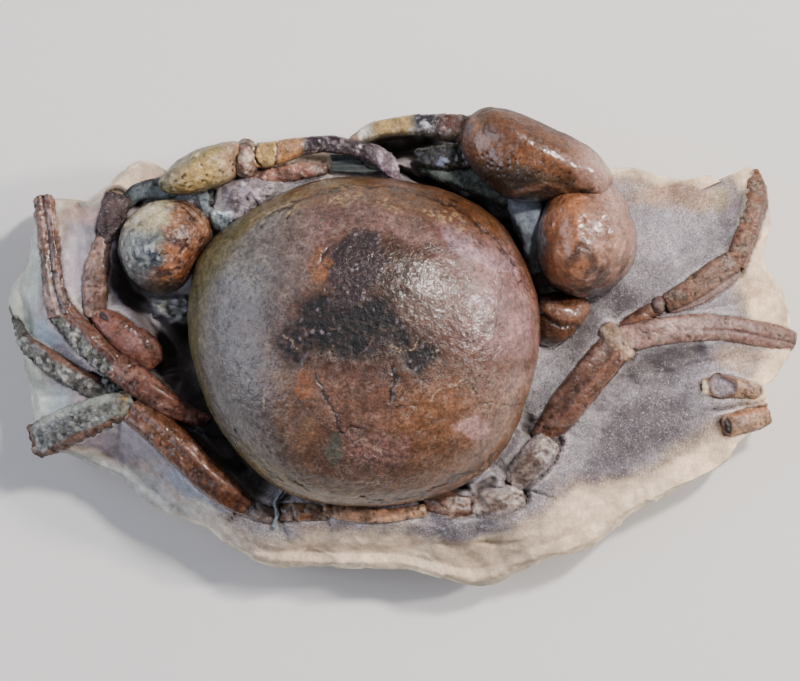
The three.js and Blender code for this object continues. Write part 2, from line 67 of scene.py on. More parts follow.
# Each limb joint's middle line, from the end nearest the shell: x, y, height, half width, half height.
LIMBS = {
    "left_leg_1_thigh": [
        (-61.4, -3.6, 23.4, 2.6, 2.4), (-63.6, -1, 24.4, 4.2, 3.4), (-67.9, 2.3, 25.2, 4.6, 3.8),
        (-72.1, 5.7, 25.2, 3.7, 3.4), (-75.6, 8.2, 24.6, 2.2, 2.4),
    ],
    "left_leg_1_shin": [
        (-76, 8.2, 24.4, 2.8, 2.4), (-75.9, 14.7, 25, 3.3, 3), (-75, 20.8, 25, 3.2, 3),
        (-73.6, 27, 24.6, 2.4, 2.6),
    ],
    "left_leg_1_foot": [
        (-73.4, 26.6, 24.5, 2.5, 2.7), (-71.8, 32.2, 24.8, 3.6, 3.2), (-70.4, 37.4, 23.6, 3.4, 2.8),
    ],
    "left_leg_2_thigh": [
        (-48.6, -18, 23.6, 1.6, 2), (-53.3, -16.2, 25.6, 2.5, 2.8), (-58.8, -12.8, 27, 3.2, 3.2),
        (-64.9, -8.6, 27.2, 3.6, 3.3), (-70.8, -4.4, 26.8, 3.6, 3.1),
    ],
    "left_leg_2_knee": [
        (-70.8, -4.8, 26.8, 3.6, 3.1), (-73.5, -2.6, 26.9, 3.6, 3), (-77.6, 1.4, 26.6, 3.8, 3),
        (-81.4, 5.4, 26.1, 3.7, 2.9), (-84, 8.6, 25.8, 3.5, 2.8),
    ],
    "left_leg_2_foot": [
        (-84.2, 8.4, 25.9, 3.5, 2.9), (-85.8, 14.1, 25.8, 2.9, 2.7), (-86.7, 19.6, 25.6, 2.6, 2.7),
        (-87.3, 25.6, 25.2, 2.6, 2.7), (-88.1, 31.7, 24.4, 2.7, 2.5), (-89, 37, 22.8, 2.4, 2.2),
    ],
    "left_leg_3_foot": [
        (-70.6, -10.8, 21.6, 2.6, 2), (-75.8, -10.1, 22.2, 2.9, 2.3), (-80, -7.9, 22.4, 3, 2.4),
        (-84.9, -5.2, 22.2, 3.1, 2.4), (-89.7, -1.8, 21.2, 2.6, 2.2), (-93.9, 1.8, 19, 1.6, 1.8),
        (-96.4, 7.4, 16.6, 0.8, 1),
    ],
    "left_leg_4_thigh": [
        (-38.6, -39.2, 25.6, 2.4, 2.8), (-43.7, -35.3, 26.8, 3.6, 3.5), (-48.7, -31, 27.4, 4, 3.9),
        (-54.3, -25.4, 27.4, 4.1, 3.9), (-60.2, -20.1, 27, 4.1, 3.7), (-66.2, -15.4, 26, 3.6, 3.2),
    ],
    "left_leg_4_foot": [
        (-66.4, -13.6, 25.4, 3, 2.8), (-73.9, -15.7, 24.6, 3.8, 3.2), (-80, -18.3, 22.8, 4.5, 3.5),
        (-86.1, -21, 20, 4.6, 3.2), (-91, -23.2, 16.2, 4, 2.8),
    ],
    "tail_rim": [
        (-18.4, -40.4, 27.2, 1.4, 2.4), (-12, -41.2, 28, 1.9, 2.8), (-4, -41.6, 28, 1.9, 3),
        (5.8, -40.4, 27.6, 1.5, 2.6),
    ],
    "left_hip_3": [(-30.2, -41.8, 25.4, 2, 2.2), (-34, -41.2, 26, 2.7, 2.7), (-38.6, -39.4, 25, 2.6, 2.4)],
    "left_hip_4": [(-18.6, -41, 26.4, 1.6, 2), (-24.4, -41, 27, 2.3, 2.6), (-30, -41, 26, 2, 2)],
    "right_hip_4": [(6.6, -38.6, 25.4, 2.2, 2.6), (12, -39.2, 26.6, 3.5, 3.2), (17, -39.4, 26, 2.8, 2.8)],
    "right_hip_3": [(18.6, -39, 25.2, 3, 2.8), (24, -38.2, 26.4, 4.3, 3.4), (30, -37.2, 24.6, 2.9, 2.6)],
    "right_hip_2": [(28.4, -33.6, 24.6, 3, 3), (33, -28.4, 26, 4.8, 3.8), (37.4, -23.6, 25, 3.8, 3)],
    "right_leg_1_thigh": [(54, 5, 23.2, 0.8, 1.4), (58.4, 7.2, 24, 1.6, 2), (64, 9.7, 23.8, 1.9, 2.2)],
    "right_leg_1_shin": [
        (67, 10.8, 24.2, 2.7, 2.4), (71.5, 12.9, 24.8, 3.6, 2.9), (75.9, 15.5, 24.4, 4.1, 3.2),
        (80.2, 18.5, 23.2, 4.1, 3), (83.4, 20.6, 22.6, 3.6, 2.7),
    ],
    "right_leg_1_foot": [
        (83.8, 20.6, 22.6, 3.2, 2.6), (85.9, 26.2, 22.2, 3, 2.6), (87.6, 31, 21.4, 3.1, 2.5),
        (89, 35.8, 20, 3.1, 2.3), (89.6, 40, 17.4, 2.5, 2), (89, 43.8, 14.4, 1.2, 1.4),
    ],
    "right_leg_2_thigh": [
        (35.6, -22.4, 21.8, 3, 3), (40.1, -16.2, 24.4, 4.3, 4), (45.1, -9.9, 26.2, 4.5, 4.3),
        (50.1, -3.6, 26.9, 4.6, 4), (53.9, 0.9, 26.8, 4.2, 3.5),
    ],
    "right_leg_2_knee": [
        (51.8, 4.3, 26.4, 2.2, 3.4), (54, 1.5, 27.9, 2.7, 3.4), (56.4, -1.8, 26.8, 2.2, 3.4),
    ],
    "right_leg_2_shin": [
        (54.6, 1.8, 26.6, 3.4, 3.2), (62.1, 3.6, 26.8, 3.3, 3.4), (68.4, 4.6, 25.8, 3.5, 3.3),
        (74.6, 5.2, 24.2, 3.5, 3.1), (80.9, 5, 22.2, 3.3, 2.9), (87.2, 4, 19.6, 3.2, 2.8),
        (93.5, 3, 15.8, 3, 2.6), (98.2, 1.9, 12.6, 2.4, 2.2),
    ],
    "right_leg_3_stub": [
        (76, -9.8, 21, 2, 1.8), (80.4, -9.7, 21, 3.2, 2.2), (84, -10, 20.2, 2.7, 2),
        (89.2, -10.9, 18.6, 1.8, 1.6),
    ],
    "right_leg_4_stub": [
        (81.4, -19.8, 17.6, 2.9, 2.4), (86.5, -18.4, 15.8, 3.1, 2.4), (92, -16.8, 12.2, 2.6, 2),
    ],
    "left_claw_upper_finger": [
        (-1, 42.6, 30.6, 1, 1.2), (-3.4, 46, 31.6, 2.2, 2.2), (-6.8, 48.2, 32.6, 2.3, 2.2),
        (-11.9, 49.6, 33, 2, 2.1), (-18.5, 50.5, 33, 2, 2.1), (-24.4, 49.9, 33.2, 2.2, 2.4),
        (-28, 49, 33.2, 2.8, 2.9), (-32, 48, 33, 3.1, 3), (-36.6, 47.7, 32.5, 3, 2.9),
    ],
    "left_claw_lower_finger": [
        (-19.2, 44.4, 30, 1.1, 1.2), (-23, 44.2, 30.4, 1.9, 2), (-28, 43.4, 30.5, 2, 2.3),
        (-34, 42.5, 30.5, 1.9, 2.3), (-38.8, 41.9, 29.5, 1.5, 2),
    ],
    "right_claw_upper_finger": [
        (-12.2, 51.2, 31, 0.9, 1), (-6.8, 53.6, 32.2, 2, 1.9), (-0.2, 54.9, 33.2, 2.4, 2.4),
        (6.4, 55, 34.2, 2.7, 2.8), (11.6, 54.6, 34.5, 3.2, 3.3), (16.6, 54, 34.5, 3.6, 3.6),
    ],
    "right_claw_lower_finger": [(4.6, 47.4, 28, 1.8, 2), (10, 47.2, 29.5, 3.1, 2.8), (17, 47.8, 31, 3.2, 3)],
}

# ---------------------------------------------------------------- numbers, noise and marks


def srgb(code):
    """Linear colour of an sRGB hex value."""
    parts = np.array([int(code[place:place + 2], 16) for place in (0, 2, 4)]) / 255
    return np.where(parts <= 0.04045, parts / 12.92, ((parts + 0.055) / 1.055) ** 2.4)


def soft(value, start, end):
    """0 before start and 1 past end, smooth between; end may be the smaller."""
    turn = np.clip((value - start) / (end - start), 0, 1)
    return turn * turn * (3 - 2 * turn)


def scatter(cell, seed):
    """A number from 0 to 1 for each whole-numbered cell, spread evenly and the same on every run."""
    mixed = cell[:, 0] * 73856093 ^ cell[:, 1] * 19349663 ^ cell[:, 2] * 83492791 ^ (seed + 1) * 668265263
    mixed = ((mixed ^ (mixed >> 13)) * 1274126177) & 0x7FFFFFFF
    return ((mixed ^ (mixed >> 15)) & 0xFFFF) / 0xFFFF


def noise(p, size, octaves=3, seed=0):
    """Cloudy noise from about -1 to 1, whose largest clouds are size mm across."""
    total = np.zeros(len(p))
    for octave in range(octaves):
        place = p / (size / 2 ** octave) + 31.7 * (octave + 1)
        cell = np.floor(place).astype(np.int64)
        part = place - cell
        part = part ** 3 * (part * (part * 6 - 15) + 10)
        for corner in itertools.product((0, 1), repeat=3):
            share = np.prod(np.where(corner, part, 1 - part), axis=1)
            total += share * (scatter(cell + corner, seed + octave) - 0.5) * 0.5 ** octave
    return total * 2.6 / (2 - 0.5 ** (octaves - 1))


def creases(p, size, width, seed=0):
    """Thin wandering lines about size mm apart: 1 along a line, 0 beside it; width is a share of size."""
    return soft(np.abs(noise(p, size, 3, seed)), width, 0)


def grains(p, size, seed=0):
    """Scattered grains size mm apart: distance to the nearest, gap to the next, and its lot and slant."""
    place = p / size
    base = np.floor(place).astype(np.int64)
    nearest, second = np.full(len(p), 9.0), np.full(len(p), 9.0)
    lot, slant = np.zeros(len(p)), np.zeros(len(p))
    for step in itertools.product((-1, 0, 1), repeat=3):
        cell = base + step
        away = place - cell - 0.1 - 0.8 * np.stack([scatter(cell, seed + axis) for axis in range(3)], 1)
        far = np.linalg.norm(away, axis=1)
        closer = far < nearest
        second = np.where(closer, nearest, np.minimum(second, far))
        lot = np.where(closer, scatter(cell, seed + 3), lot)
        turn = 2 * math.pi * scatter(cell, seed + 4)
        slant = np.where(closer, away[:, 0] * np.cos(turn) + away[:, 1] * np.sin(turn), slant)
        nearest = np.minimum(nearest, far)
    return nearest, second - nearest, lot, slant


def crusted(p, size, seed):
    """Sugary crystals: tilted lumps of that size with sharp gaps, from about -0.5 to 0.5."""
    gap, lot, slant = grains(p, size, seed)[1:]
    return (0.6 * (lot - 0.5) + 0.5 * slant) * soft(gap, 0, 0.2)


def warped(p, size, amount, seed=0):
    """The points moved about by noise, so that a mark drawn on them has a natural edge."""
    moved = p.copy()
    for axis in (0, 1):
        moved[:, axis] += amount * noise(p, size, 3, seed + 7 * axis)
    return moved


def to_segment(xy, start, end):
    """Distance of each point from a straight line between two others."""
    run = end - start
    share = np.clip(((xy - start) @ run) / max(run @ run, 1e-9), 0, 1)
    return np.linalg.norm(xy - start - share[:, None] * run, axis=1)


def line(p, stations, width, edge=0.5):
    """1 along a line through stations and 0 beyond width mm; edge is the share of width that fades."""
    stations = np.array(stations, float)
    away = np.min([to_segment(p[:, :2], a, b) for a, b in zip(stations, stations[1:])], axis=0)
    return soft(away, width, width * (1 - edge))


def inside(p, outline, edge=1.5):
    """1 inside a closed outline seen from above and 0 outside it, over an edge of that many mm."""
    outline = np.array(outline, float)
    xy = p[:, :2]
    away = np.full(len(xy), 1e9)
    within = np.zeros(len(xy), bool)
    for start, end in zip(outline, np.roll(outline, -1, axis=0)):
        away = np.minimum(away, to_segment(xy, start, end))
        rise = end[1] - start[1] if end[1] != start[1] else 1e-9
        crossing = start[0] + (xy[:, 1] - start[1]) * (end[0] - start[0]) / rise
        within ^= ((start[1] > xy[:, 1]) != (end[1] > xy[:, 1])) & (xy[:, 0] < crossing)
    return soft(np.where(within, away, -away), -edge / 2, edge / 2)


def oval(p, x, y, across, deep, turn=0.0, edge=0.35):
    """1 in the middle of an oval of those half sizes and 0 outside it."""
    cos, sin = math.cos(math.radians(turn)), math.sin(math.radians(turn))
    u = (p[:, 0] - x) * cos + (p[:, 1] - y) * sin
    v = (p[:, 1] - y) * cos - (p[:, 0] - x) * sin
    return soft(np.hypot(u / across, v / deep), 1, 1 - edge)


def flat_tone(p, code):
    """One colour for all the points."""
    return np.tile(srgb(code), (len(p), 1))


def lay(tone, mask, code):
    """The tone with another colour laid over it where mask is."""
    return tone + np.clip(mask, 0, 1)[:, None] * (srgb(code) - tone)


def vary(tone, p, size, amount, seed):
    """The tone made darker and lighter in clouds of that size."""
    return tone * np.clip(1 + amount * noise(p, size, 3, seed), 0.15, 2)[:, None]


def between(values, place):
    """Values along a list of stations, on a smooth curve through them."""
    values = np.vstack([2 * values[0] - values[1], values, 2 * values[-1] - values[-2]])
    first = np.clip(place.astype(int), 0, len(values) - 4)
    turn = (place - first)[:, None]
    a, b, c, d = (values[first + shift] for shift in range(4))
    return 0.5 * (2 * b + (c - a) * turn + (2 * a - 5 * b + 4 * c - d) * turn ** 2
                  + (3 * b - a - 3 * c + d) * turn ** 3)


# ---------------------------------------------------------------- meshes


def points_and_normals(mesh):
    """The mesh's points, in mm from DATUM, and the way its surface faces there."""
    rows = []
    for source, field in ((mesh.vertices, "co"), (mesh.vertex_normals, "vector")):
        values = np.empty(len(mesh.vertices) * 3, np.float32)
        source.foreach_get(field, values)
        rows.append(values.reshape(-1, 3).astype(float))
    return rows[0] / MM - DATUM, rows[1]


def store(mesh, tone, rough, wear):
    """Keeps on each vertex the surface's colour there, how rough it is and how wrinkled, from 0 to 1."""
    colours = mesh.attributes.new("tone", "FLOAT_COLOR", "POINT")
    colours.data.foreach_set("color", np.column_stack([tone, np.ones(len(tone))]).astype(np.float32).ravel())
    for name, values in (("rough", rough), ("wear", wear)):
        kept = mesh.attributes.new(name, "FLOAT", "POINT")
        kept.data.foreach_set("value", (np.clip(values, 0, 1) * np.ones(len(tone))).astype(np.float32))


def dressed(skin, dressing, swelling, measures=(), joined=None):
    """Gives a bare skin its look, and its relief over a swelling in mm; joined is its row of JOINED."""
    p, n = points_and_normals(skin)
    relief, *look = dressing(p, n, *measures)
    if joined:
        swelling = swelling + filled(p, *joined)
    moved = p + n * (relief + swelling)[:, None]
    skin.vertices.foreach_set("co", ((moved + DATUM) * MM).astype(np.float32).ravel())
    skin.update()
    store(skin, *look)
    return skin


def solid_piece(name, mesh, slot, material, *nodes):
    """A finished piece of the crab or the stone, in the place of those CAD nodes."""
    mesh.materials.clear()
    mesh.materials.append(material)
    mesh.polygons.foreach_set("use_smooth", np.ones(len(mesh.polygons), bool))
    made = bpy.data.objects.new(name, mesh)
    bpy.context.scene.collection.objects.link(made)
    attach(made, "root")
    if nodes:
        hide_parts(*nodes)


def resurfaced(node, spacing, rounds):
    """A fine, even mesh of a CAD node's form, worn smooth over that many rounds; spacing is in mm."""
    rough_out = bpy.data.objects.new(node + "_form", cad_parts[node].data.copy())
    bpy.context.scene.collection.objects.link(rough_out)
    even = rough_out.modifiers.new("even", "REMESH")
    even.mode = "VOXEL"
    even.voxel_size = spacing * MM
    worn = rough_out.modifiers.new("worn", "SMOOTH")
    worn.factor = 0.5
    worn.iterations = rounds
    shaped = rough_out.evaluated_get(bpy.context.evaluated_depsgraph_get())
    mesh = bpy.data.meshes.new_from_object(shaped)
    bpy.data.objects.remove(rough_out)
    return mesh


LIMB_SPACING = 0.36  # between a limb mesh's rows and columns
ROUND_END = 0.6  # length over which a joint's end closes
OVERLAP = 0.9  # that a joint reaches into the next one
BOXINESS = 3.1  # of its section: 2 is a plain oval
BOXY = {
    "right_leg_1_shin": 5, "right_leg_1_foot": 5, "right_leg_2_shin": 4, "right_leg_2_thigh": 4,
    "left_leg_4_foot": 3.6, "left_leg_1_thigh": 2.4,
    "web_by_right_wrist": 4, "ledge_under_right_palm": 4, "band_under_left_palm": 4,
}
CURVE_STEPS = 400  # in which a middle line's length is measured
CROWDING = 0.35  # how much closer the rows stand near the ends
LIMB_SWELLING = 0.1  # of every joint over its stations


def ring_faces(rings, columns, turned=False):
    """Faces from each ring of points to the next, and fans to the two points that follow the last ring.

    turned is for rings that run clockwise.
    """
    ring = np.arange(columns)
    onward = np.roll(ring, -1)
    quads = [
        np.column_stack([ring, onward, onward + columns, ring + columns]) + place * columns
        for place in range(rings - 1)
    ]
    faces = np.vstack(quads).tolist()
    near_cap, far_cap, last = rings * columns, rings * columns + 1, (rings - 1) * columns
    faces += [(near_cap, b, a) for a, b in zip(ring.tolist(), onward.tolist())]
    faces += [(far_cap, last + a, last + b) for a, b in zip(ring.tolist(), onward.tolist())]
    return [(face[0], *face[:0:-1]) for face in faces] if turned else faces


def limb_mesh(name, stations, boxiness):
    """A limb joint's mesh, and for each vertex the mm along it, mm across it, and its length."""
    stations = np.array(stations, float)
    coarse = np.linspace(0, len(stations) - 1, CURVE_STEPS)
    steps = np.linalg.norm(np.diff(between(stations, coarse)[:, :3], axis=0), axis=1)
    walked = np.concatenate([[0], np.cumsum(steps)])
    length = walked[-1]
    rows = int(length / LIMB_SPACING) + 8
    even = np.linspace(0, 1, rows)
    spaced = length * ((1 - CROWDING) * even + CROWDING * (1 - np.cos(math.pi * even)) / 2)
    row = between(stations, np.interp(spaced, walked, coarse))
    width, height = row[:, 3], row[:, 4]
    columns = int(2 * math.pi * width.max() / LIMB_SPACING)
    forward = np.gradient(row[:, :3], axis=0)
    forward /= np.linalg.norm(forward, axis=1, keepdims=True)
    sideways = np.cross([0, 0, 1], forward)
    sideways /= np.linalg.norm(sideways, axis=1, keepdims=True)
    lifted = np.cross(forward, sideways)
    middle = row[:, :3] + (2 * spaced / length - 1)[:, None] * OVERLAP * forward
    from_end = np.clip(np.minimum(spaced, length - spaced) / ROUND_END, 0.02, 1)
    closing = (1 - (1 - from_end) ** 3) ** (1 / 3)
    angle = np.linspace(0, 2 * math.pi, columns, endpoint=False)
    cos, sin = np.cos(angle), np.sin(angle)
    section = (np.abs(cos) ** boxiness + np.abs(sin) ** boxiness) ** (-1 / boxiness)
    across = (width * closing)[:, None] * cos * section
    rising = (height * closing)[:, None] * sin * section
    p = middle[:, None] + across[..., None] * sideways[:, None] + rising[..., None] * lifted[:, None]
    p = np.vstack([p.reshape(-1, 3), middle[0], middle[-1]])
    mesh = bpy.data.meshes.new(name)
    mesh.from_pydata(((p + DATUM) * MM).tolist(), [], ring_faces(rows, columns))
    along = np.append(np.repeat(spaced, columns), [0, length])
    return mesh, along, np.append(across.ravel(), [0, 0]), length


# ---------------------------------------------------------------- materials


def add(tree, kind, settings=None, inputs=None):
    """Adds a node with its settings, and its inputs set to a value or linked from another node."""
    made = tree.nodes.new("ShaderNode" + kind)
    for name, value in (settings or {}).items():
        setattr(made, name, value)
    for name, value in (inputs or {}).items():
        sockets = [socket for socket in made.inputs if socket.enabled]
        socket = sockets[name] if isinstance(name, int) else next(s for s in sockets if s.name == name)
        if isinstance(value, bpy.types.Node):
            value = next(output for output in value.outputs if output.enabled)
        if isinstance(value, bpy.types.NodeSocket):
            tree.links.new(value, socket)
        else:
            socket.default_value = value
    return made


def per_mm(size):
    """Scale of a texture whose features are size mm apart."""
    return 1 / (size * MM)


def colour(code):
    """A hex value as a colour socket takes it."""
    return (*srgb(code), 1.0)


def new_material(name):
    """An empty material and its node tree."""
    material = bpy.data.materials.new(name)
    material.use_nodes = True
    material.node_tree.nodes.clear()
    return material, material.node_tree


def surface(tree, tone, roughness, bump, lacquer, **settings):
    """Ends a material in one shader; bump shapes its body and lacquer its coat."""
    inputs = {"Base Color": tone, "Roughness": roughness, "Normal": bump, "Coat Normal": lacquer}
    shader = add(tree, "BsdfPrincipled", None, inputs)
    for name, value in settings.items():
        shader.inputs[name.replace("_", " ")].default_value = value
    add(tree, "OutputMaterial", None, {"Surface": shader})
    return shader


def mottled(tree, tone, place, size, low, high):
    """The tone made darker and lighter in clouds of that size."""
    cloud = add(tree, "TexNoise", None, {
        "Vector": place, "Scale": per_mm(size), "Detail": 4.0, "Roughness": 0.6})
    share = add(tree, "MapRange", None, {0: cloud, 1: 0.32, 2: 0.68, 3: low, 4: high})
    return add(tree, "VectorMath", {"operation": "SCALE"}, {0: tone, "Scale": share})


def times(tree, first, second):
    """Two masks multiplied."""
    return add(tree, "Math", {"operation": "MULTIPLY"}, {0: first, 1: second})


def over(tree, tone, share, code):
    """The tone with another colour over it in that share."""
    return add(tree, "Mix", {"data_type": "RGBA"}, {"Factor": share, "A": tone, "B": colour(code)})


def threads(tree, place, size, width, shift):
    """Thin wandering lines size mm apart, broken off here and there: 1 along a line, 0 beside it."""
    moved = add(tree, "VectorMath", {"operation": "ADD"}, {0: place, 1: (shift * MM, 0, 0)})
    wander = add(tree, "TexNoise", None, {
        "Vector": moved, "Scale": per_mm(size), "Detail": 4.0, "Roughness": 0.6, "Distortion": 1.2})
    off = add(tree, "Math", {"operation": "SUBTRACT"}, {0: wander, 1: 0.5})
    away = add(tree, "Math", {"operation": "ABSOLUTE"}, {0: off})
    lines = add(tree, "MapRange", None, {0: away, 1: 0.0, 2: width, 3: 1.0, 4: 0.0})
    patches = add(tree, "TexNoise", None, {"Vector": moved, "Scale": per_mm(size * 1.7), "Detail": 2.0})
    shown = add(tree, "MapRange", None, {0: patches, 1: 0.48, 2: 0.56, 3: 0.0, 4: 1.0})
    return times(tree, lines, shown)


def shell_material(name, polish, grain, granule, coat, pale):
    """Crab cuticle turned to stone, sealed with lacquer: granular and crackled, with a broken wet gloss.

    grain and granule are the mm between ripples and between granules, polish the bare roughness, coat the
    lacquer's weight, and pale the colour of the worn ridges, which also stands in for their glint.
    """
    material, tree = new_material(name)
    place = add(tree, "TexCoord").outputs["Object"]
    tone = add(tree, "Attribute", {"attribute_name": "tone"})
    rough = add(tree, "Attribute", {"attribute_name": "rough"}).outputs["Fac"]
    wear = add(tree, "Attribute", {"attribute_name": "wear"}).outputs["Fac"]
    # clouds of clay 3 mm across, and single crystals, drawn 0.8 mm across so that they show
    painted = mottled(tree, tone.outputs["Color"], place, 3.0, 0.8, 1.2)
    painted = mottled(tree, painted, place, 0.8, 0.6, 1.4)
    # hair-fine calcite ridges and shrinkage cracks, drawn about 0.1 mm wide so that they show
    ridges = times(tree, threads(tree, place, 2.3, 0.022, 0), wear)
    cracks = times(tree, threads(tree, place, 3.1, 0.02, 40), wear)
    # the ridges painted pale: partly calcite, partly painted glint
    painted = over(tree, painted, times(tree, ridges, 0.36), pale)
    painted = over(tree, painted, times(tree, cracks, 0.75), "1d1310")
    fleck = add(tree, "TexNoise", None, {
        "Vector": place, "Scale": per_mm(0.6), "Detail": 2.0, "Distortion": 1.5})
    shown = add(tree, "MapRange", None, {0: fleck, 1: 0.66, 2: 0.74, 3: 0.0, 4: 0.5})
    painted = over(tree, painted, times(tree, shown, wear), pale)
    dust = add(tree, "TexNoise", None, {"Vector": place, "Scale": per_mm(1.4), "Detail": 5.0})
    worn = add(tree, "Math", {"operation": "MULTIPLY_ADD"}, {0: dust, 1: 0.3, 2: polish - 0.15})
    gloss = add(tree, "Math", {"operation": "MULTIPLY_ADD", "use_clamp": True}, {0: rough, 1: 0.45, 2: worn})
    # rough crust has soaked the lacquer up, so it shines only on sound cuticle
    sealed = add(tree, "MapRange", None, {0: rough, 1: 0.15, 2: 0.6, 3: coat, 4: coat * 0.15})
    granules = add(tree, "TexVoronoi", None, {"Vector": place, "Scale": per_mm(granule), "Randomness": 1.0})
    ripple = add(tree, "TexNoise", None, {
        "Vector": place, "Scale": per_mm(grain), "Detail": 5.0, "Roughness": 0.6})
    height = add(tree, "Math", {"operation": "MULTIPLY_ADD"}, {0: granules, 1: -0.3, 2: ripple})
    height = add(tree, "Math", {"operation": "MULTIPLY_ADD"}, {0: ridges, 1: 0.25, 2: height})
    height = add(tree, "Math", {"operation": "MULTIPLY_ADD"}, {0: cracks, 1: -0.5, 2: height})
    depth = add(tree, "MapRange", None, {0: rough, 1: 0.0, 2: 1.0, 3: 0.45, 4: 1.0})
    bump = add(tree, "Bump", None, {"Height": height, "Strength": depth, "Distance": 0.5 * MM})
    lacquer = add(tree, "Bump", None, {"Height": height, "Strength": depth, "Distance": 0.26 * MM})
    shader = surface(
        tree, painted, gloss, bump, lacquer,
        IOR=1.5, Specular_IOR_Level=0.28, Coat_Roughness=0.09, Coat_IOR=1.5)
    tree.links.new(sealed.outputs["Result"], shader.inputs["Coat Weight"])
    return material


def stone_material():
    """Fine limy sandstone, scribed with a vibrating chisel: dull and pricked all over, with a chalky rind."""
    material, tree = new_material("scribed_sandstone")
    place = add(tree, "TexCoord").outputs["Object"]
    tone = add(tree, "Attribute", {"attribute_name": "tone"})
    rough = add(tree, "Attribute", {"attribute_name": "rough"}).outputs["Fac"]
    strokes = add(tree, "Mapping", None, {"Vector": place, "Rotation": (0, 0, 0.9), "Scale": (1, 0.6, 1)})
    painted = mottled(tree, tone.outputs["Color"], place, 5.0, 0.9, 1.1)
    painted = mottled(tree, painted, strokes, 1.4, 0.88, 1.12)
    gritty = mottled(tree, painted, place, 0.5, 0.62, 1.38)
    painted = add(tree, "Mix", {"data_type": "RGBA"}, {"Factor": rough, "A": painted, "B": gritty})
    # sand grains and the chisel's pricks, 0.2 mm and finer, drawn 0.6 mm across so that they show
    prick = add(tree, "TexNoise", None, {
        "Vector": place, "Scale": per_mm(0.6), "Detail": 3.0, "Roughness": 0.75})
    hollow = add(tree, "MapRange", None, {0: prick, 1: 0.36, 2: 0.42, 3: 0.7, 4: 0.0})
    painted = over(tree, painted, times(tree, hollow, rough), "625a5a")
    chip = add(tree, "MapRange", None, {0: prick, 1: 0.59, 2: 0.66, 3: 0.0, 4: 0.5})
    painted = over(tree, painted, times(tree, chip, rough), "d4cfd0")
    scratches = times(tree, threads(tree, strokes, 1.7, 0.026, 0), rough)
    painted = over(tree, painted, times(tree, scratches, 0.28), "dcd6d8")
    stroke = add(tree, "TexNoise", None, {
        "Vector": strokes, "Scale": per_mm(0.8), "Detail": 4.0, "Roughness": 0.65})
    height = add(tree, "Math", {"operation": "MULTIPLY_ADD"}, {0: stroke, 1: 0.8, 2: prick})
    depth = add(tree, "MapRange", None, {0: rough, 1: 0.0, 2: 1.0, 3: 0.4, 4: 1.0})
    bump = add(tree, "Bump", None, {"Height": height, "Strength": depth, "Distance": 0.35 * MM})
    surface(tree, painted, 0.8, bump, bump, IOR=1.5, Specular_IOR_Level=0.3)
    return material


def floor_material():
    """Seamless paper, matte and pale, with a faint fibre."""
    material, tree = new_material("seamless_paper")
    place = add(tree, "TexCoord").outputs["Object"]
    fibre = mottled(tree, colour("dcd9d4")[:3], place, 3.0, 0.985, 1.0)
    weave = add(tree, "TexNoise", None, {"Vector": place, "Scale": per_mm(0.6), "Detail": 2.0})
    bump = add(tree, "Bump", None, {"Height": weave, "Strength": 0.1, "Distance": 0.05 * MM})
    surface(tree, fibre, 0.9, bump, bump)
    return material


# ---------------------------------------------------------------- the stone

STONE_COLUMNS = 840  # of points round the outline
FACE_ROWS = 94  # from under the carapace to the rim
BROW_ROWS = 16  # of those, down over the face's rounded edge
UNDER_ROWS = 24  # from the rim to the flat spot
BROW_CURVE = 2.2  # of the rounded edge: 2 is a quarter of an oval
BELLY_CURVE = 1.7  # of the underside's rise: 1 is straight
HIDDEN_RADII = np.array([35.0, 32.5])  # of the oval of stone that the carapace hides
RIM_HEIGHT = 9.5
CLIFF_HEIGHT = 21.0  # of the rim behind the claws
FLAT_SHARE = 0.5  # of the outline, flat underneath
SUNK = {"right_leg": 0.62, "right_hip": 0.98}  # how far up a joint the stone reaches, in half heights
PROUD = 0.5  # the same for all the other joints
BANK_REACH = 7.0  # over which the stone falls from a limb's flank to its own level
BANK_SEARCH = 9.0  # how far from a limb its bank is looked for
GRID_STEP = 0.5  # between the places where the CAD stone's height is read
COVER = 1.2  # a piece nearer than this over the CAD stone hides the stone's own height
FILLING_ROUNDS = 500  # that carry the height on under such pieces

# Width of the chalky rind, at these places along the outline: x, y, width.
RIND = [
    (92, 36, 6), (91, 26, 6), (95, 16, 9), (98, 6, 9), (98, -2, 4), (93, -14, 5), (85, -24, 7), (75, -33, 9),
    (50, -49, 14), (20, -59, 12), (0, -56, 9), (-25, -55, 7), (-45, -48, 5), (-65, -37, 4), (-80, -28, 2),
    (-92, -20, 4), (-97, 10, 7), (-92, 28, 3), (-80, 37, 3), (-66, 46, 4), (58, 45, 4), (70, 42, 6),
    (80, 42, 6), (88, 45, 5),
]
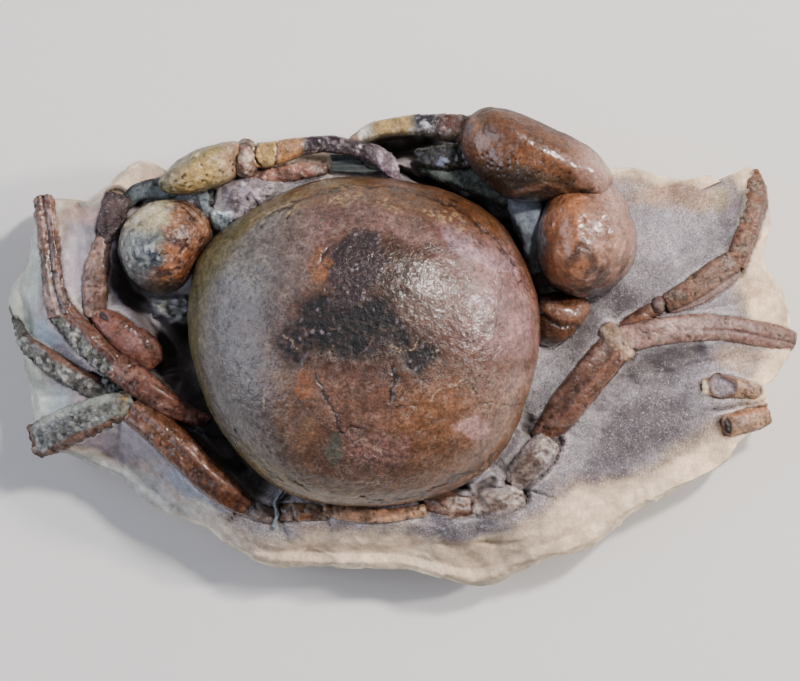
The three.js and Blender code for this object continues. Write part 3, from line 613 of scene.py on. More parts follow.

# Channels cut round the crab: stations, half width, depth, share of dark paint in them, which is dirt and
# painted shade.
MOATS = [
    ([(-66.5, 37), (-69.8, 33), (-70.6, 27), (-70, 21), (-67.4, 15.6), (-63.4, 11.4)], 1, 2.2, 0.75),
    ([(-69, 15), (-64.4, 9.2), (-60.6, 4.2), (-57.6, -0.6)], 1.8, 2.6, 0.68),
    ([(-52.5, 6), (-54, 1), (-54, -6), (-49, -15), (-43.5, -24.5), (-36.5, -33)], 3.8, 4, 0.7),
    ([(-58, 1), (-57.6, -4), (-61.4, -7.4), (-57, -9)], 2.2, 3.6, 0.85),
    ([(-76, -8.2), (-70, -10.4), (-63.7, -14.6), (-54, -19.4), (-48.5, -25), (-40, -31.5)], 2, 4.6, 0.8),
    ([(-6, 50), (0, 50.8), (8, 50.4)], 3.4, 9, 0.95),
    ([(-3, 45), (3, 43.5), (12, 40), (20, 36.4), (27, 30), (31.5, 22), (34.4, 13)], 1.1, 6, 0.85),
    ([(46, -15), (52.5, -7.6), (58, -3.6), (64, -1.8), (73, -1.2)], 3, 2, 0.3),
    ([(-98, 9.8), (-94, 1.5)], 1.1, 2.5, 0.8),
    ([(5, -36.6), (12.5, -36), (16, -34.6)], 1.6, 4, 0.9),
    ([(19.5, -35), (23.5, -33.5)], 1.2, 3, 0.8),
    ([(27, -31), (29, -26), (32.6, -19)], 1.6, 2, 0.6),
]

# Broad tones of the bare face: x, y, half sizes, turn, share, colour.
FACE_TONES = [
    (66, 29, 15, 11, 0, 0.8, "9c9298"), (55, 12, 11, 6, -30, 0.9, "4c4346"),
    # the tone at (66, -5) is painted shadow under the right second shin, and the one at (60, -20) painted
    # shade on the low field, which slopes away from the light
    (38, -10, 6, 12, -20, 0.8, "b9b2b6"), (66, -5, 17, 6, 8, 0.7, "5c5458"),
    (60, -20, 19, 12, 20, 0.9, "524a4d"), (50, -32, 12, 6, 30, 0.7, "665e62"),
    (70, -28, 9, 4, 30, 0.6, "8c7a64"), (58, -40, 9, 4, 35, 0.7, "9a8468"),
    (93, 11, 5, 7, 0, 0.7, "f4d8ba"), (80, -12, 8, 5, 0, 0.5, "b0a29c"), (84, -2, 8, 4, 0, 0.7, "b3957c"),
    (70, 38, 16, 4, -3, 0.8, "ac8a70"), (80, 37, 5, 4, 60, 0.6, "9c8a68"),
    (84, 33, 3, 6, -15, 0.6, "a8949a"), (10, -46, 30, 4, 0, 0.85, "6c666a"),
    (-28, -47, 16, 4, -14, 0.7, "8c8a8c"), (-52, -36, 16, 3.5, -38, 0.8, "8a929c"),
    (-73, -25, 12, 3.4, -27, 0.85, "8a7e84"), (-60, -35.5, 8, 2.4, -36, 0.6, "9a9ca0"),
    (-81, 22, 4.5, 14, -4, 0.9, "cabcc2"), (-79, 33, 6, 4, 0, 0.9, "bc9d92"),
    (-91, 20, 4, 16, 0, 0.9, "a6b2b4"), (-90, 3, 7, 6, -40, 0.8, "98a6ae"),
    (-88, -13, 7, 6, 20, 0.8, "9ca8aa"), (-62, 43, 8, 4.5, 35, 0.9, "c3a48c"),
    (-59, 43.5, 3, 2.4, 0, 0.8, "8a5e50"), (-72, 40, 5, 3, 35, 0.8, "b89c74"),
]


def smooth_outline(stations, columns):
    """Evenly spaced points of the closed curve through the stations, nearly straight between them."""
    spots = np.array(stations, float)
    closed = np.vstack([spots[-1:], spots, spots[:2]])
    curve = between(closed, np.linspace(1, len(spots) + 1, 24 * len(spots)))
    walked = np.concatenate([[0], np.cumsum(np.linalg.norm(np.diff(curve, axis=0), axis=1))])
    wanted = np.linspace(0, walked[-1], columns, endpoint=False)
    return np.column_stack([np.interp(wanted, walked, curve[:, axis]) for axis in (0, 1)])


def tree_of(nodes):
    """The CAD nodes' surfaces, for casting rays at."""
    corners, faces = [], []
    for name in nodes:
        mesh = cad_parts[name].data
        first = len(corners)
        corners += [vertex.co.copy() for vertex in mesh.vertices]
        faces += [[first + corner for corner in face.vertices] for face in mesh.polygons]
    return BVHTree.FromPolygons(corners, faces)


def blurred(grid, rounds):
    """A grid with each value drawn towards its neighbours', over that many rounds."""
    for _ in range(rounds):
        grid = sum(np.roll(grid, way, axis) for axis in (0, 1) for way in (-1, 0, 0, 1)) / 8
    return grid


def stone_face():
    """Height of the CAD stone's face, carried on under the pieces bedded in it, and where they are."""
    xs, ys = np.arange(-102, 102.1, GRID_STEP), np.arange(-64, 64.1, GRID_STEP)
    stone = tree_of(["stone_slab"])
    crab = tree_of([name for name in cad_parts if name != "stone_slab"])
    height, bedded = np.full((len(ys), len(xs)), np.nan), np.zeros((len(ys), len(xs)))
    up, down = Vector((0, 0, 1)), Vector((0, 0, -1))
    for row, y in enumerate(ys):
        for column, x in enumerate(xs):
            above = Vector(((x + DATUM[0]) * MM, (y + DATUM[1]) * MM, 0.1))
            bedded[row, column] = crab.ray_cast(above, down)[0] is not None
            hit = stone.ray_cast(above, down)[0]
            if hit is None:
                continue
            cover = crab.ray_cast(hit + up * 1e-6, up)[3]
            if cover is None or cover > COVER * MM:
                height[row, column] = hit.z / MM
    known = ~np.isnan(height)
    for axis, way in itertools.product((0, 1), (-1, 1)):
        known &= np.roll(~np.isnan(height), way, axis)
    whole = np.where(known, height, np.nanmean(height))
    for _ in range(FILLING_ROUNDS):
        around = sum(np.roll(whole, way, axis) for axis in (0, 1) for way in (-1, 1)) / 4
        whole = np.where(known, height, around)
    whole = blurred(whole, 14)
    bedded = blurred(bedded, 4)

    def sampled(grid, xy):
        """The grid's values at points that lie between its own."""
        column = np.clip((xy[:, 0] - xs[0]) / GRID_STEP, 0, len(xs) - 2)
        row = np.clip((xy[:, 1] - ys[0]) / GRID_STEP, 0, len(ys) - 2)
        left, low = column.astype(int), row.astype(int)
        right, high = column - left, row - low
        lower = grid[low, left] * (1 - right) + grid[low, left + 1] * right
        upper = grid[low + 1, left] * (1 - right) + grid[low + 1, left + 1] * right
        return lower * (1 - high) + upper * high

    return lambda xy: sampled(whole, xy), lambda xy: sampled(bedded, xy)


def embankment(xy):
    """How far each point is outside the nearest limb, and how high the stone is banked against it."""
    gap, bank = np.full(len(xy), 99.0), np.zeros(len(xy))
    for name, stations in LIMBS.items():
        if "finger" in name:
            continue
        spots = np.array(stations, float)
        fine = between(spots, np.linspace(0, len(spots) - 1, 8 * len(spots)))
        low, high = fine[:, :2].min(0) - BANK_SEARCH, fine[:, :2].max(0) + BANK_SEARCH
        near = np.flatnonzero(((xy > low) & (xy < high)).all(1))
        away = np.linalg.norm(xy[near, None] - fine[None, :, :2], axis=2) - fine[:, 3]
        closest = away.argmin(1)
        least = away[np.arange(len(near)), closest]
        better = least < gap[near]
        gap[near[better]] = least[better]
        reach = SUNK.get(name[:9], PROUD)
        bank[near[better]] = (fine[closest, 2] + reach * fine[closest, 4])[better]
    return gap, bank


def underside(rim, rim_height, way):
    """Rings of points from under the rim in to the flat spot; way is outward from the middle of the shell."""
    rings = []
    for row in range(1, UNDER_ROWS + 1):
        share = 1 - (1 - FLAT_SHARE) * (row / UNDER_ROWS) ** 1.1
        climb = (share - FLAT_SHARE) / (1 - FLAT_SHARE)
        ring = np.column_stack([rim * share, rim_height * climb ** BELLY_CURVE])
        rugged = noise(ring, 14, 4, 8) + 0.4 * noise(ring, 4, 3, 9)
        ring[:, 2] = np.maximum(ring[:, 2] + rugged * np.sqrt(climb * (1 - climb)), 0)
        ring[:, :2] += way * (climb ** 0.5 * crag(ring))[:, None]
        rings.append(ring)
    return np.vstack(rings)


def stone_mesh():
    """The stone as one closed skin of rings: over the face, round the rim and in under the belly."""
    rim = smooth_outline(STONE_OUTLINE, STONE_COLUMNS)
    outward = rim - SHELL_MIDDLE
    reach = np.linalg.norm(outward, axis=1, keepdims=True)
    way = outward / reach
    edge_points = np.column_stack([rim, np.zeros(STONE_COLUMNS)])
    lot, slant = grains(edge_points, 9, 2)[2:]
    chipped = 0.3 * (lot - 0.5) + 0.45 * slant - 0.1
    rim = rim + way * chipped[:, None]
    hidden = SHELL_MIDDLE + way / np.linalg.norm(way / HIDDEN_RADII, axis=1, keepdims=True)
    height_at, bedded_at = stone_face()

    # rings over the face, crowded down over its rounded edge
    rounding = 2.4 + noise(edge_points, 22, 2, 6) - 1.4 * soft(rim[:, 0], 50, 80)
    rounding = np.maximum(rounding, 0.9)
    brow = 1 - rounding / np.linalg.norm(rim - hidden, axis=1)
    shares = [brow * share for share in np.linspace(0, 1, FACE_ROWS - BROW_ROWS) ** 0.92]
    for row in range(1, BROW_ROWS + 1):
        shares.append(brow + (1 - brow) * math.sin(math.pi / 2 * row / BROW_ROWS) ** 0.91)
    face = np.vstack([hidden + (rim - hidden) * share[:, None] for share in shares])
    columns = np.tile(np.arange(STONE_COLUMNS), FACE_ROWS)
    from_rim = np.linalg.norm(rim[columns] - face, axis=1)
    from_middle = np.linalg.norm(face - SHELL_MIDDLE, axis=1)
    pulled = np.minimum(1, (0.93 * reach[columns, 0]) / np.maximum(from_middle, 1e-6))
    level = height_at(SHELL_MIDDLE + (face - SHELL_MIDDLE) * pulled[:, None])

    # banked up against the limbs, and kept down underneath them
    p = np.column_stack([face, level])
    wavering = face + 0.35 * np.column_stack([noise(p, 2.2, 2, 1), noise(p, 2.2, 2, 2)])
    gap, bank = embankment(wavering)
    fall = np.clip(gap / BANK_REACH, 0, 1) ** 0.85
    banked = bank * (1 - fall) + level * fall
    level = np.where(gap < BANK_REACH, np.maximum(level, banked), level)
    level = np.where(gap < -0.7, np.minimum(level, bank - 1.5), level)

    behind_claws = soft(rim[:, 1], 40, 50)
    rim_height = RIM_HEIGHT + (CLIFF_HEIGHT - RIM_HEIGHT) * behind_claws
    rim_height = rim_height + 0.5 * noise(edge_points, 30, 2, 5)
    near_rim = np.clip(1 - from_rim / rounding[columns], 0, 1)
    fallen = np.sqrt(1 - near_rim ** BROW_CURVE)
    p[:, 2] = rim_height[columns] + (level - rim_height[columns]) * fallen
    lift, tone, rough = dress_face(p, from_rim, bedded_at(face), gap)

    # no channel is cut so deep that it comes out through the belly
    turn = np.arctan2(rim[:, 1], rim[:, 0])
    turned = np.arctan2(face[:, 1], face[:, 0])
    rim_radius = np.interp(turned, turn, np.linalg.norm(rim, axis=1), period=math.tau)
    climb = np.clip((np.linalg.norm(face, axis=1) / rim_radius - FLAT_SHARE) / (1 - FLAT_SHARE), 0, 1)
    belly = np.interp(turned, turn, rim_height, period=math.tau) * climb ** BELLY_CURVE
    level = np.maximum(level + lift, belly + 1.8 * soft(from_rim, 0, 3))
    p[:, 2] = rim_height[columns] + (level - rim_height[columns]) * fallen
    p[:, :2] += way[columns] * (soft(near_rim, 0, 0.7) * crag(p))[:, None]
    tone = tone * (1 + near_rim * (0.2 * noise(p, 6, 4, 35) - 0.06))[:, None]

    below = underside(rim, rim_height, way)
    below_tone, below_rough = dress_underside(below)
    caps = np.array([[*SHELL_MIDDLE, height_at(SHELL_MIDDLE[None])[0]], [0, 0, 0]])
    cap_tone = np.vstack([srgb("8c8078"), srgb("b7a68c")])
    p = np.vstack([p, below, caps])
    tone = np.vstack([tone, below_tone, cap_tone])
    rough = np.concatenate([rough, below_rough, [0.5, 0.5]])

    faces = ring_faces(FACE_ROWS + UNDER_ROWS, STONE_COLUMNS, turned=True)
    mesh = bpy.data.meshes.new("stone_slab_surface")
    mesh.from_pydata(((p + DATUM) * MM).tolist(), [], faces)
    mesh.validate()
    store(mesh, tone, rough, 0)
    return mesh


def crag(p):
    """How far the broken side of the stone stands out, in mm."""
    lot, slant = grains(p, 5, 24)[2:]
    return 0.6 * noise(p, 7, 4, 34) + 0.45 * slant + 0.25 * (lot - 0.5)


def dress_face(p, from_rim, bedded, gap):
    """Relief, colour and grit of the stone's face."""
    w = warped(p, 9, 2.2, 11)
    spots = np.array(RIND, float)
    away = (p[:, None, 0] - spots[:, 0]) ** 2 + (p[:, None, 1] - spots[:, 1]) ** 2 + 20
    weight = 1 / away ** 2
    rind_width = (weight * spots[:, 2]).sum(1) / weight.sum(1)
    ragged = 3.6 * noise(p, 13, 3, 12) + 0.3 * noise(p, 1.8, 2, 13)
    rind = soft(from_rim + ragged, rind_width + 2.5, rind_width - 2)
    rind = rind * (1 - oval(p, -2, 50, 22, 7))
    rusty = soft(from_rim + ragged * 1.4, rind_width + 7, rind_width)
    left = soft(w[:, 0], -52, -68) * soft(w[:, 1], 39, 33)
    below_left = soft(w[:, 0], -30, -55) * soft(w[:, 1], -22, -30)

    tone = flat_tone(p, "8a8284")
    tone = lay(tone, 0.75 * rusty, "a88f7a")
    for x, y, across, deep, turn, share, code in FACE_TONES:
        tone = lay(tone, share * oval(w, x, y, across, deep, turn, 0.6), code)
    tone = lay(tone, 0.92 * rind * (1 - 0.75 * left), "d8bea0")
    tone = lay(tone, rind * left * 0.8, "a9b1a2")
    tone = lay(tone, rind * below_left * 0.8, "b2b2ae")
    tone = lay(tone, 0.7 * rind * soft(from_rim, 1.6, 0.3) * (1 - left), "f0e2c8")
    tone = lay(tone, 0.7 * rind * soft(p[:, 0], 60, 90), "eccba6")
    tone = lay(tone, 0.6 * rind * (1 - left) * soft(noise(p, 10, 3, 32), 0.2, 0.7), "b39c84")
    tone = vary(tone, p, 11, 0.16, 14)
    tone = vary(tone, p, 4, 0.2, 15)
    tone = vary(tone, p, 1.3, 0.24, 16)

    crevice, lot, slant = grains(p, 1.6, 18)[1:]
    split, broad, sloping = grains(p, 12, 23)[1:]
    scribed = (1 - rind) * soft(p[:, 0], -64, -40)
    lift = (0.5 - 0.3 * rind) * noise(p, 14, 2, 17) + (0.2 - 0.1 * rind) * noise(p, 3.4, 3, 20)
    lift += scribed * 0.35 * (0.5 * (lot - 0.5) + slant) * soft(crevice, 0, 0.25)
    lift += 0.9 * rind * soft(split, 0, 0.12) * (sloping + 0.3 * (broad - 0.5))
    tone = tone * (1 + 0.3 * rind * (broad - 0.5))[:, None]
    rough = 0.3 + 0.7 * scribed

    dark = np.zeros(len(p))
    for stations, width, depth, dirt_and_shade in MOATS:
        lift -= depth * line(w, stations, width * 1.3, 0.9)
        dark = np.maximum(dark, dirt_and_shade * line(w, stations, width * 1.5, 0.7))
    fringe = 0.7 * soft(bedded, 0.12, 0.3) * soft(bedded, 0.85, 0.6)
    lip = np.maximum(fringe, soft(gap, 1.1, 0.5) * soft(gap, 0.1, 0.3))
    tone = lay(tone, 0.5 * lip * (1 - dark) * soft(noise(p, 5, 2, 33), -0.3, 0.4), "cfc6c2")
    # painted shade in the crease where the stone meets a limb, and under it
    tone = lay(tone, 0.7 * soft(gap, 0.3, -0.1) * (1 - dark), "43362f")
    # the channels darkened: dirt, and painted shade of their depth
    tone = lay(tone, dark, "453d36")
    tone = lay(tone, 0.6 * dark * soft(noise(p, 3, 3, 19), 0, 0.5), "5a5a52")
    bank = line(w, [(-72, 26), (-71, 16), (-67, 10.4), (-63, 6.5)], 3.4, 0.6) * (1 - 0.8 * dark)
    tone = lay(tone, 0.9 * bank, "5e5256")
    lift += 1.4 * bank * (1 + 0.4 * noise(p, 2.2, 3, 34))
    rough = rough * (1 - 0.9 * dark)

    for dressing in (dress_mound, dress_ledges, dress_lumps):
        lift, tone, rough = dressing(p, lift, tone, rough)
    return lift, tone, rough


def dress_mound(p, lift, tone, rough):
    """The knob of broken matrix between the left wrist, the left palm and the carapace."""
    w = warped(p, 3, 0.7, 24)
    crevice, lot, slant = grains(p, 2.2, 21)[1:]
    mound = inside(w, [
        (-43.4, 40), (-38.3, 42.2), (-29, 41.4), (-32.6, 36.6), (-36.7, 31.4), (-41.4, 31.4),
    ], 2)
    craggy = (2 * slant + 1.2 * (lot - 0.5)) * soft(crevice, 0, 0.1) + 0.6 * noise(p, 4, 3, 22)
    lift = lift + mound * (2.5 + craggy)
    tone = lay(tone, mound, "807476")
    tone = lay(tone, mound * soft(lot, 0.55, 0.8), "b3a4a8")
    tone = lay(tone, mound * soft(noise(p, 2.6, 3, 25), 0.2, 0.6), "5d5150")
    chunk = oval(w, -44.2, 31.8, 3.2, 3, 0, 0.2)
    tone = lay(tone, chunk, "6c7679")
    tone = lay(tone, chunk * line(w, [(-47, 34), (-43, 33.4), (-41, 31.8)], 0.8), "c4ced2")
    lift = lift + chunk * (1.8 + 0.8 * slant)
    lip = inside(w, [(-50, 38), (-45.6, 38.4), (-45.8, 35), (-48.6, 31.6), (-50, 34)], 1)
    tone = lay(tone, lip, "6e787a")
    lift = lift + 1.5 * lip
    crack = inside(warped(p, 2, 0.4, 26), [(-47.2, 39.4), (-45.4, 39.4), (-46.2, 34.8), (-47.6, 35)], 0.6)
    tone = lay(tone, crack, "120d0c")
    band = line(w, [(-68, 37), (-64.5, 39.6), (-60, 38.8), (-55.6, 38), (-51, 38), (-47.6, 38)], 1.5)
    tone = lay(tone, 0.85 * band, "5c676a")
    return lift - 2.5 * crack + 0.8 * band, tone, np.maximum(rough, mound)


def dress_ledges(p, lift, tone, rough):
    """Ledges of slate-coloured matrix left standing between the carapace and the claws."""
    w = warped(p, 3, 0.5, 27)
    web = inside(w, [(24, 38), (36.4, 41), (36.4, 34), (35.8, 22), (33, 20), (30.4, 27.6), (27.6, 33)], 3)
    tone = lay(tone, web, "60666c")
    tone = lay(tone, line(w, [(35, 40.5), (35.4, 34), (34.8, 24)], 0.8), "a4acb0")
    ledge = line(w, [(7.5, 43.8), (13, 42.4), (20.1, 39.2), (24.4, 35.4), (28.6, 33)], 1.9, 0.4)
    tone = lay(tone, ledge, "3a3f3d")
    tone = lay(tone, line(w, [(8, 44.6), (20.4, 40.2), (25, 36.4)], 0.45), "98a09c")
    block = inside(p, [(-17.5, 48.6), (-4.4, 47.6), (-3.8, 43.6), (-9, 43), (-17.5, 43.8)], 0.8)
    grooves = soft(np.sin(p[:, 1] * 5.2 + 2 * noise(p, 5, 2, 28)), -0.2, 0.9)
    tone = lay(tone, block, "2e3230")
    tone = lay(tone, 0.4 * block * grooves, "4c5250")
    lift = lift + 6 * web + 3.5 * ledge + block * (2.2 + 0.25 * grooves)
    return lift, tone, rough * (1 - np.maximum(web, block))


def dress_lumps(p, lift, tone, rough):
    """Pale crystal lumps between the left wrist and the first thigh, and the chunk by the right foot."""
    w = warped(p, 2.5, 0.8, 29)
    lot, slant = grains(p, 2, 35)[2:]
    lumps = inside(w, [(-61.5, 12), (-56, 13), (-52, 12.6), (-52, 6.4), (-56, 6.4), (-60.4, 8.4)], 1.6)
    tone = lay(tone, lumps, "80807c")
    tone = lay(tone, lumps * soft(lot, 0.5, 0.8), "b4b2b0")
    lift = lift + lumps * (8 + 1.8 * slant + 1.2 * (lot - 0.5))
    chunk = line(w, [(84.6, 31.5), (86, 36), (87, 39)], 1.3, 0.4)
    tone = lay(tone, 0.8 * chunk, "6f6e5e")
    return lift + 0.6 * chunk * (1 + lot), tone, rough


def dress_underside(p):
    """The weathered rind underneath, buff in broad clouds."""
    tone = flat_tone(p, "bda88a")
    tone = lay(tone, soft(noise(p, 24, 4, 30), -0.1, 0.7), "a8957c")
    tone = lay(tone, soft(noise(p, 9, 3, 31), 0.2, 0.9), "cbb798")
    tone = vary(tone, p, 3, 0.2, 36)
    return tone, np.full(len(p), 0.6)


# ---------------------------------------------------------------- the carapace


# Granular crust on the carapace: x, y, half sizes, turn.
CRUSTS = [
    (-11, 36.2, 10, 2.4, 4), (-2, 34, 4, 1.8, -14), (22, -29, 8, 1.8, 28), (-27, 33, 4, 1.6, 35),
    (10, 32, 8, 1.4, -22), (-6, -33, 8, 1.2, 0),
]

# Cracks and grooves in the carapace: stations, half width, depth.
CRACKS = [
    ([(-2.5, -4.7), (-1.2, -9), (-2.4, -14.5), (-1.8, -19.5), (-4.5, -21)], 0.9, 0.6),
    ([(-21.5, -3.2), (-20, -9), (-16, -15), (-13.8, -20)], 0.6, 0.4),
    ([(-26.5, 32.5), (-27.3, 29), (-27, 25.8)], 0.5, 0.4),
    ([(17.5, -8.5), (18.8, -13), (32, -13.8)], 0.35, 0.25),
    ([(-13.8, -20), (-9, -19.8), (-4.5, -21)], 0.5, 0.4),
    ([(-17, 25), (-18.4, 20), (-17.6, 14)], 0.4, 0.3),
    ([
        (-44, -14), (-38, -24), (-30, -31), (-18, -36), (-4, -37), (8, -34.6), (20, -29), (29, -21),
    ], 0.8, 0.3),
    ([(-34, 30), (-20, 38), (-4, 39.6), (12, 35.6), (24, 26), (31, 14)], 0.6, 0.25),
]

# Pale scratches on the carapace: stations.
SCRATCHES = [
    [(7.8, -13), (9.2, -10.5), (16.8, -7.2)], [(-33, -9.3), (-33.4, -15.8)], [(-3, 1), (2, -1), (4, 2)],
    [(-30, 5), (-25, 0)], [(-14, -24), (-9, -22), (-4, -25.4)], [(-36, 31), (-27, 35.6)],
]


def dress_carapace(p, n):
    """The domed back, with a soot-black rough band, a speckled patch, cracks and a granular rim."""
    w = warped(p, 6, 2.2, 40)
    x, y = w[:, 0], w[:, 1]
    out = np.hypot((p[:, 0] + 9) / 43.7, (p[:, 1] - 2) / 40.8)
    fine = noise(p, 1.4, 3, 41)
    cloud = noise(p, 9, 4, 42)
    edge = out + 0.05 * cloud

    tone = flat_tone(p, "523a2e")
    # grey-green over the left third: partly the shell's tint, partly painted sheen of the light from the left
    tone = lay(tone, 0.75 * soft(x, -20, -40), "585652")
    tone = lay(tone, 0.8 * inside(w, [
        (-34, 27), (-24, 35), (-4, 34), (10, 30), (22, 22), (18, 14), (6, 22), (-5, 27), (-14, 28), (-20, 19),
        (-30, 14),
    ], 7), "634a45")
    tone = lay(tone, 0.8 * soft(x, 2, 16) * soft(y, -10, 4), "5f3f37")
    # pinkish over the right third: partly the shell's colour, partly painted sheen of the light from the
    # right
    tone = lay(tone, 0.7 * soft(x, 15, 24) * soft(y, -4, 2), "84625e")
    tone = lay(tone, 0.6 * oval(w, 20, 25, 12, 5, -25), "a08088")
    tone = lay(tone, 0.75 * soft(x, 12, 24) * soft(y, -2, -12), "94766e")
    tone = lay(tone, 0.7 * soft(x, -4, 6) * soft(y, -4, -14), "5e4230")
    tone = lay(tone, 0.6 * inside(w, [(-33, -6), (-23, -6), (-19, -20), (-22, -30), (-30, -22)], 5), "5c402c")
    tone = lay(tone, soft(edge - 0.06 * soft(x, 5, 20), 0.86, 0.96) * soft(x, -40, -20), "5a3a22")
    tone = lay(tone, 0.9 * soft(edge, 0.76, 0.9) * soft(y, 18, 28) * soft(x, -34, -26), "50311a")
    # grey over the upper left: partly the shell's tint, partly painted sheen of the light from the left
    tone = lay(tone, 0.7 * soft(x, -18, -32) * soft(y, 10, 20), "5e5a56")
    tone = lay(tone, 0.85 * soft(edge, 0.86, 0.97) * soft(x, -24, -40), "544e2c")
    tone = lay(tone, 0.6 * soft(edge, 0.86, 0.95) * soft(x, -4, -16) * soft(x, -44, -34), "64502a")
    tone = lay(tone, 0.6 * oval(w, 6, -16, 13, 12), "6b4630")
    # pinkish-grey low on the right: partly the shell's colour, partly painted sheen of the light from the
    # right
    tone = lay(tone, 0.5 * oval(w, 18, -19, 6, 4), "9c7a76")

    # the halo is partly the shell's own darkening round the band, partly painted shade on the crown, which
    # reflects no light
    halo = np.maximum(oval(w, -12, 5, 27, 16, -8, 0.8), 0.7 * oval(w, -4, 15, 13, 12, 0, 0.8))
    band = inside(w, [
        (-21.4, 12.7), (-14.8, 9.8), (-9.7, 11.3), (-4.6, 11.3), (0.6, 6.9), (6.4, 1), (8.6, -3.4),
        (6.4, -7.1), (2.8, -5.6), (0.6, -0.5), (-3.8, 1), (-8.2, -1.2), (-11.9, -3.4), (-17, -1.2),
        (-22.9, -2.7), (-24.4, -5.6), (-28.8, -3.4), (-30.2, 1), (-30.2, 3.9), (-25.8, 6.9), (-24.4, 9.8),
    ], 3)
    patch = inside(w, [
        (-15.6, 25.2), (-11.2, 28.1), (-5.3, 27), (-3.8, 23.7), (-6, 17.1), (-8.2, 12.7), (-11.9, 9.1),
        (-15.6, 10.5), (-17.8, 16.4), (-17, 21.5),
    ], 2)
    flesh = inside(w, [
        (-20, -4), (-14, -2.5), (-8, -3.5), (-3, -4), (-2, -12), (-3.5, -19), (-10, -21), (-14.5, -19.5),
        (-17.5, -12),
    ], 2.5)
    pink = inside(w, [
        (-14.2, -20), (-9, -19.4), (-3.5, -21.5), (1.5, -22.5), (1, -27.5), (-6, -28.5), (-12.5, -26.5),
    ], 2)
    tone = lay(tone, 0.5 * flesh, "5e4036")
    tone = lay(tone, 0.9 * inside(w, [(-4.4, 26.4), (8.4, 26), (8.4, 17), (-4.4, 16)], 3), "371f13")
    tone = lay(tone, 0.7 * oval(w, -19.6, 20, 3.4, 5), "74482a")
    tone = lay(tone, 0.8 * oval(w, -23.6, -9.5, 2.6, 4.4), "7a4a2e")
    # partly painted shade: the dark halo on the crown
    tone = lay(tone, 0.9 * halo, "1e1716")
    tone = lay(tone, band * soft(fine, 0.9, -0.2), "0e0c0d")
    tone = lay(tone, 0.95 * patch, "24161a")
    tone = lay(tone, 0.5 * pink, "704c45")
    tone = lay(tone, 0.7 * oval(w, -15.6, -24.5, 2.4, 4.4), "3e453c")
    tone = lay(tone, 0.8 * oval(w, 6, -3, 7, 7, 0, 0.7), "171214")
    crust = np.zeros(len(p))
    for spot in CRUSTS:
        crust = np.maximum(crust, oval(w, *spot) * soft(noise(p, 0.8, 2, 39), 0.1, 0.4))
    tone = lay(tone, 0.42 * crust, "a88a62")
    tone = vary(tone, p, 5, 0.3, 47)
    tone = vary(tone, p, 1.2, 0.45, 48)
    speck = pits(p, 1.1, 38, 0.3) * soft(noise(p, 6, 2, 37), -0.4, 0.3)
    tone = lay(tone, 0.55 * speck, "241a16")

    crevice, lot, slant = grains(p, 1.4, 44)[1:]
    gritty = 0.65 * band + 0.4 * patch + 0.8 * pink + 0.7 * crust + 0.25 * halo
    lift = 0.06 * fine + 0.1 * noise(p, 4, 3, 43)
    lift += gritty * 0.5 * (0.5 * (lot - 0.5) + slant) * soft(crevice, 0, 0.25) - 0.08 * speck
    tone = lay(tone, 0.6 * (band + patch) * soft(lot, 0.82, 0.9) * soft(crevice, 0.2, 0.6), "857880")
    lift -= 0.35 * band + 0.2 * flesh
    wrinkled = soft(out, 1.05, 0.8) * (0.45 + 0.55 * soft(cloud, -0.3, 0.4)) * soft(x, -50, -30)
    for size, seed in ((6, 60), (3.2, 64)):
        wrinkle = creases(p, size, 0.05, seed) * soft(noise(p, 7, 2, seed + 2), 0, 0.3) * wrinkled
        lift += 0.16 * wrinkle
        # pale on the wrinkles: partly their own colour, partly painted glint
        tone = lay(tone, 0.3 * wrinkle, "8e705c")
    crack = np.zeros(len(p))
    broken = 0.35 + 0.65 * soft(noise(p, 4, 3, 49), -0.3, 0.2)
    for stations, width, depth in CRACKS:
        cut = broken * line(warped(p, 2.5, 1.4, 45), stations, width, 0.9)
        lift -= depth * cut
        crack = np.maximum(crack, cut)
    tone = lay(tone, 0.85 * crack, "1c1412")
    for stations in SCRATCHES:
        scratch = line(warped(p, 2.5, 0.8, 46), stations, 0.26, 0.8) * soft(noise(p, 2, 2, 36), -0.5, 0)
        lift += 0.1 * scratch
        tone = lay(tone, 0.6 * scratch, "a98e72")
    rough = 0.7 * band + 0.4 * patch + 0.5 * pink + 0.2 * soft(cloud, 0, 0.8) + 0.3 * crust
    wear = 0.3 + 0.4 * wrinkled + 0.3 * gritty - 0.5 * band - 0.3 * halo
    return lift, tone, rough, wear


# ---------------------------------------------------------------- claws


def shaded_flanks(n):
    """1 on the flanks of a piece, which are painted darker as shade."""
    return soft(n[:, 2], 0.45, 0.0)


def pits(p, size, seed, share):
    """Small round pits, in that share of the cells."""
    near, _, lot, _ = grains(p, size, seed)
    return soft(near, 0.36, 0.2) * soft(lot, 1 - share, 1.03 - share)


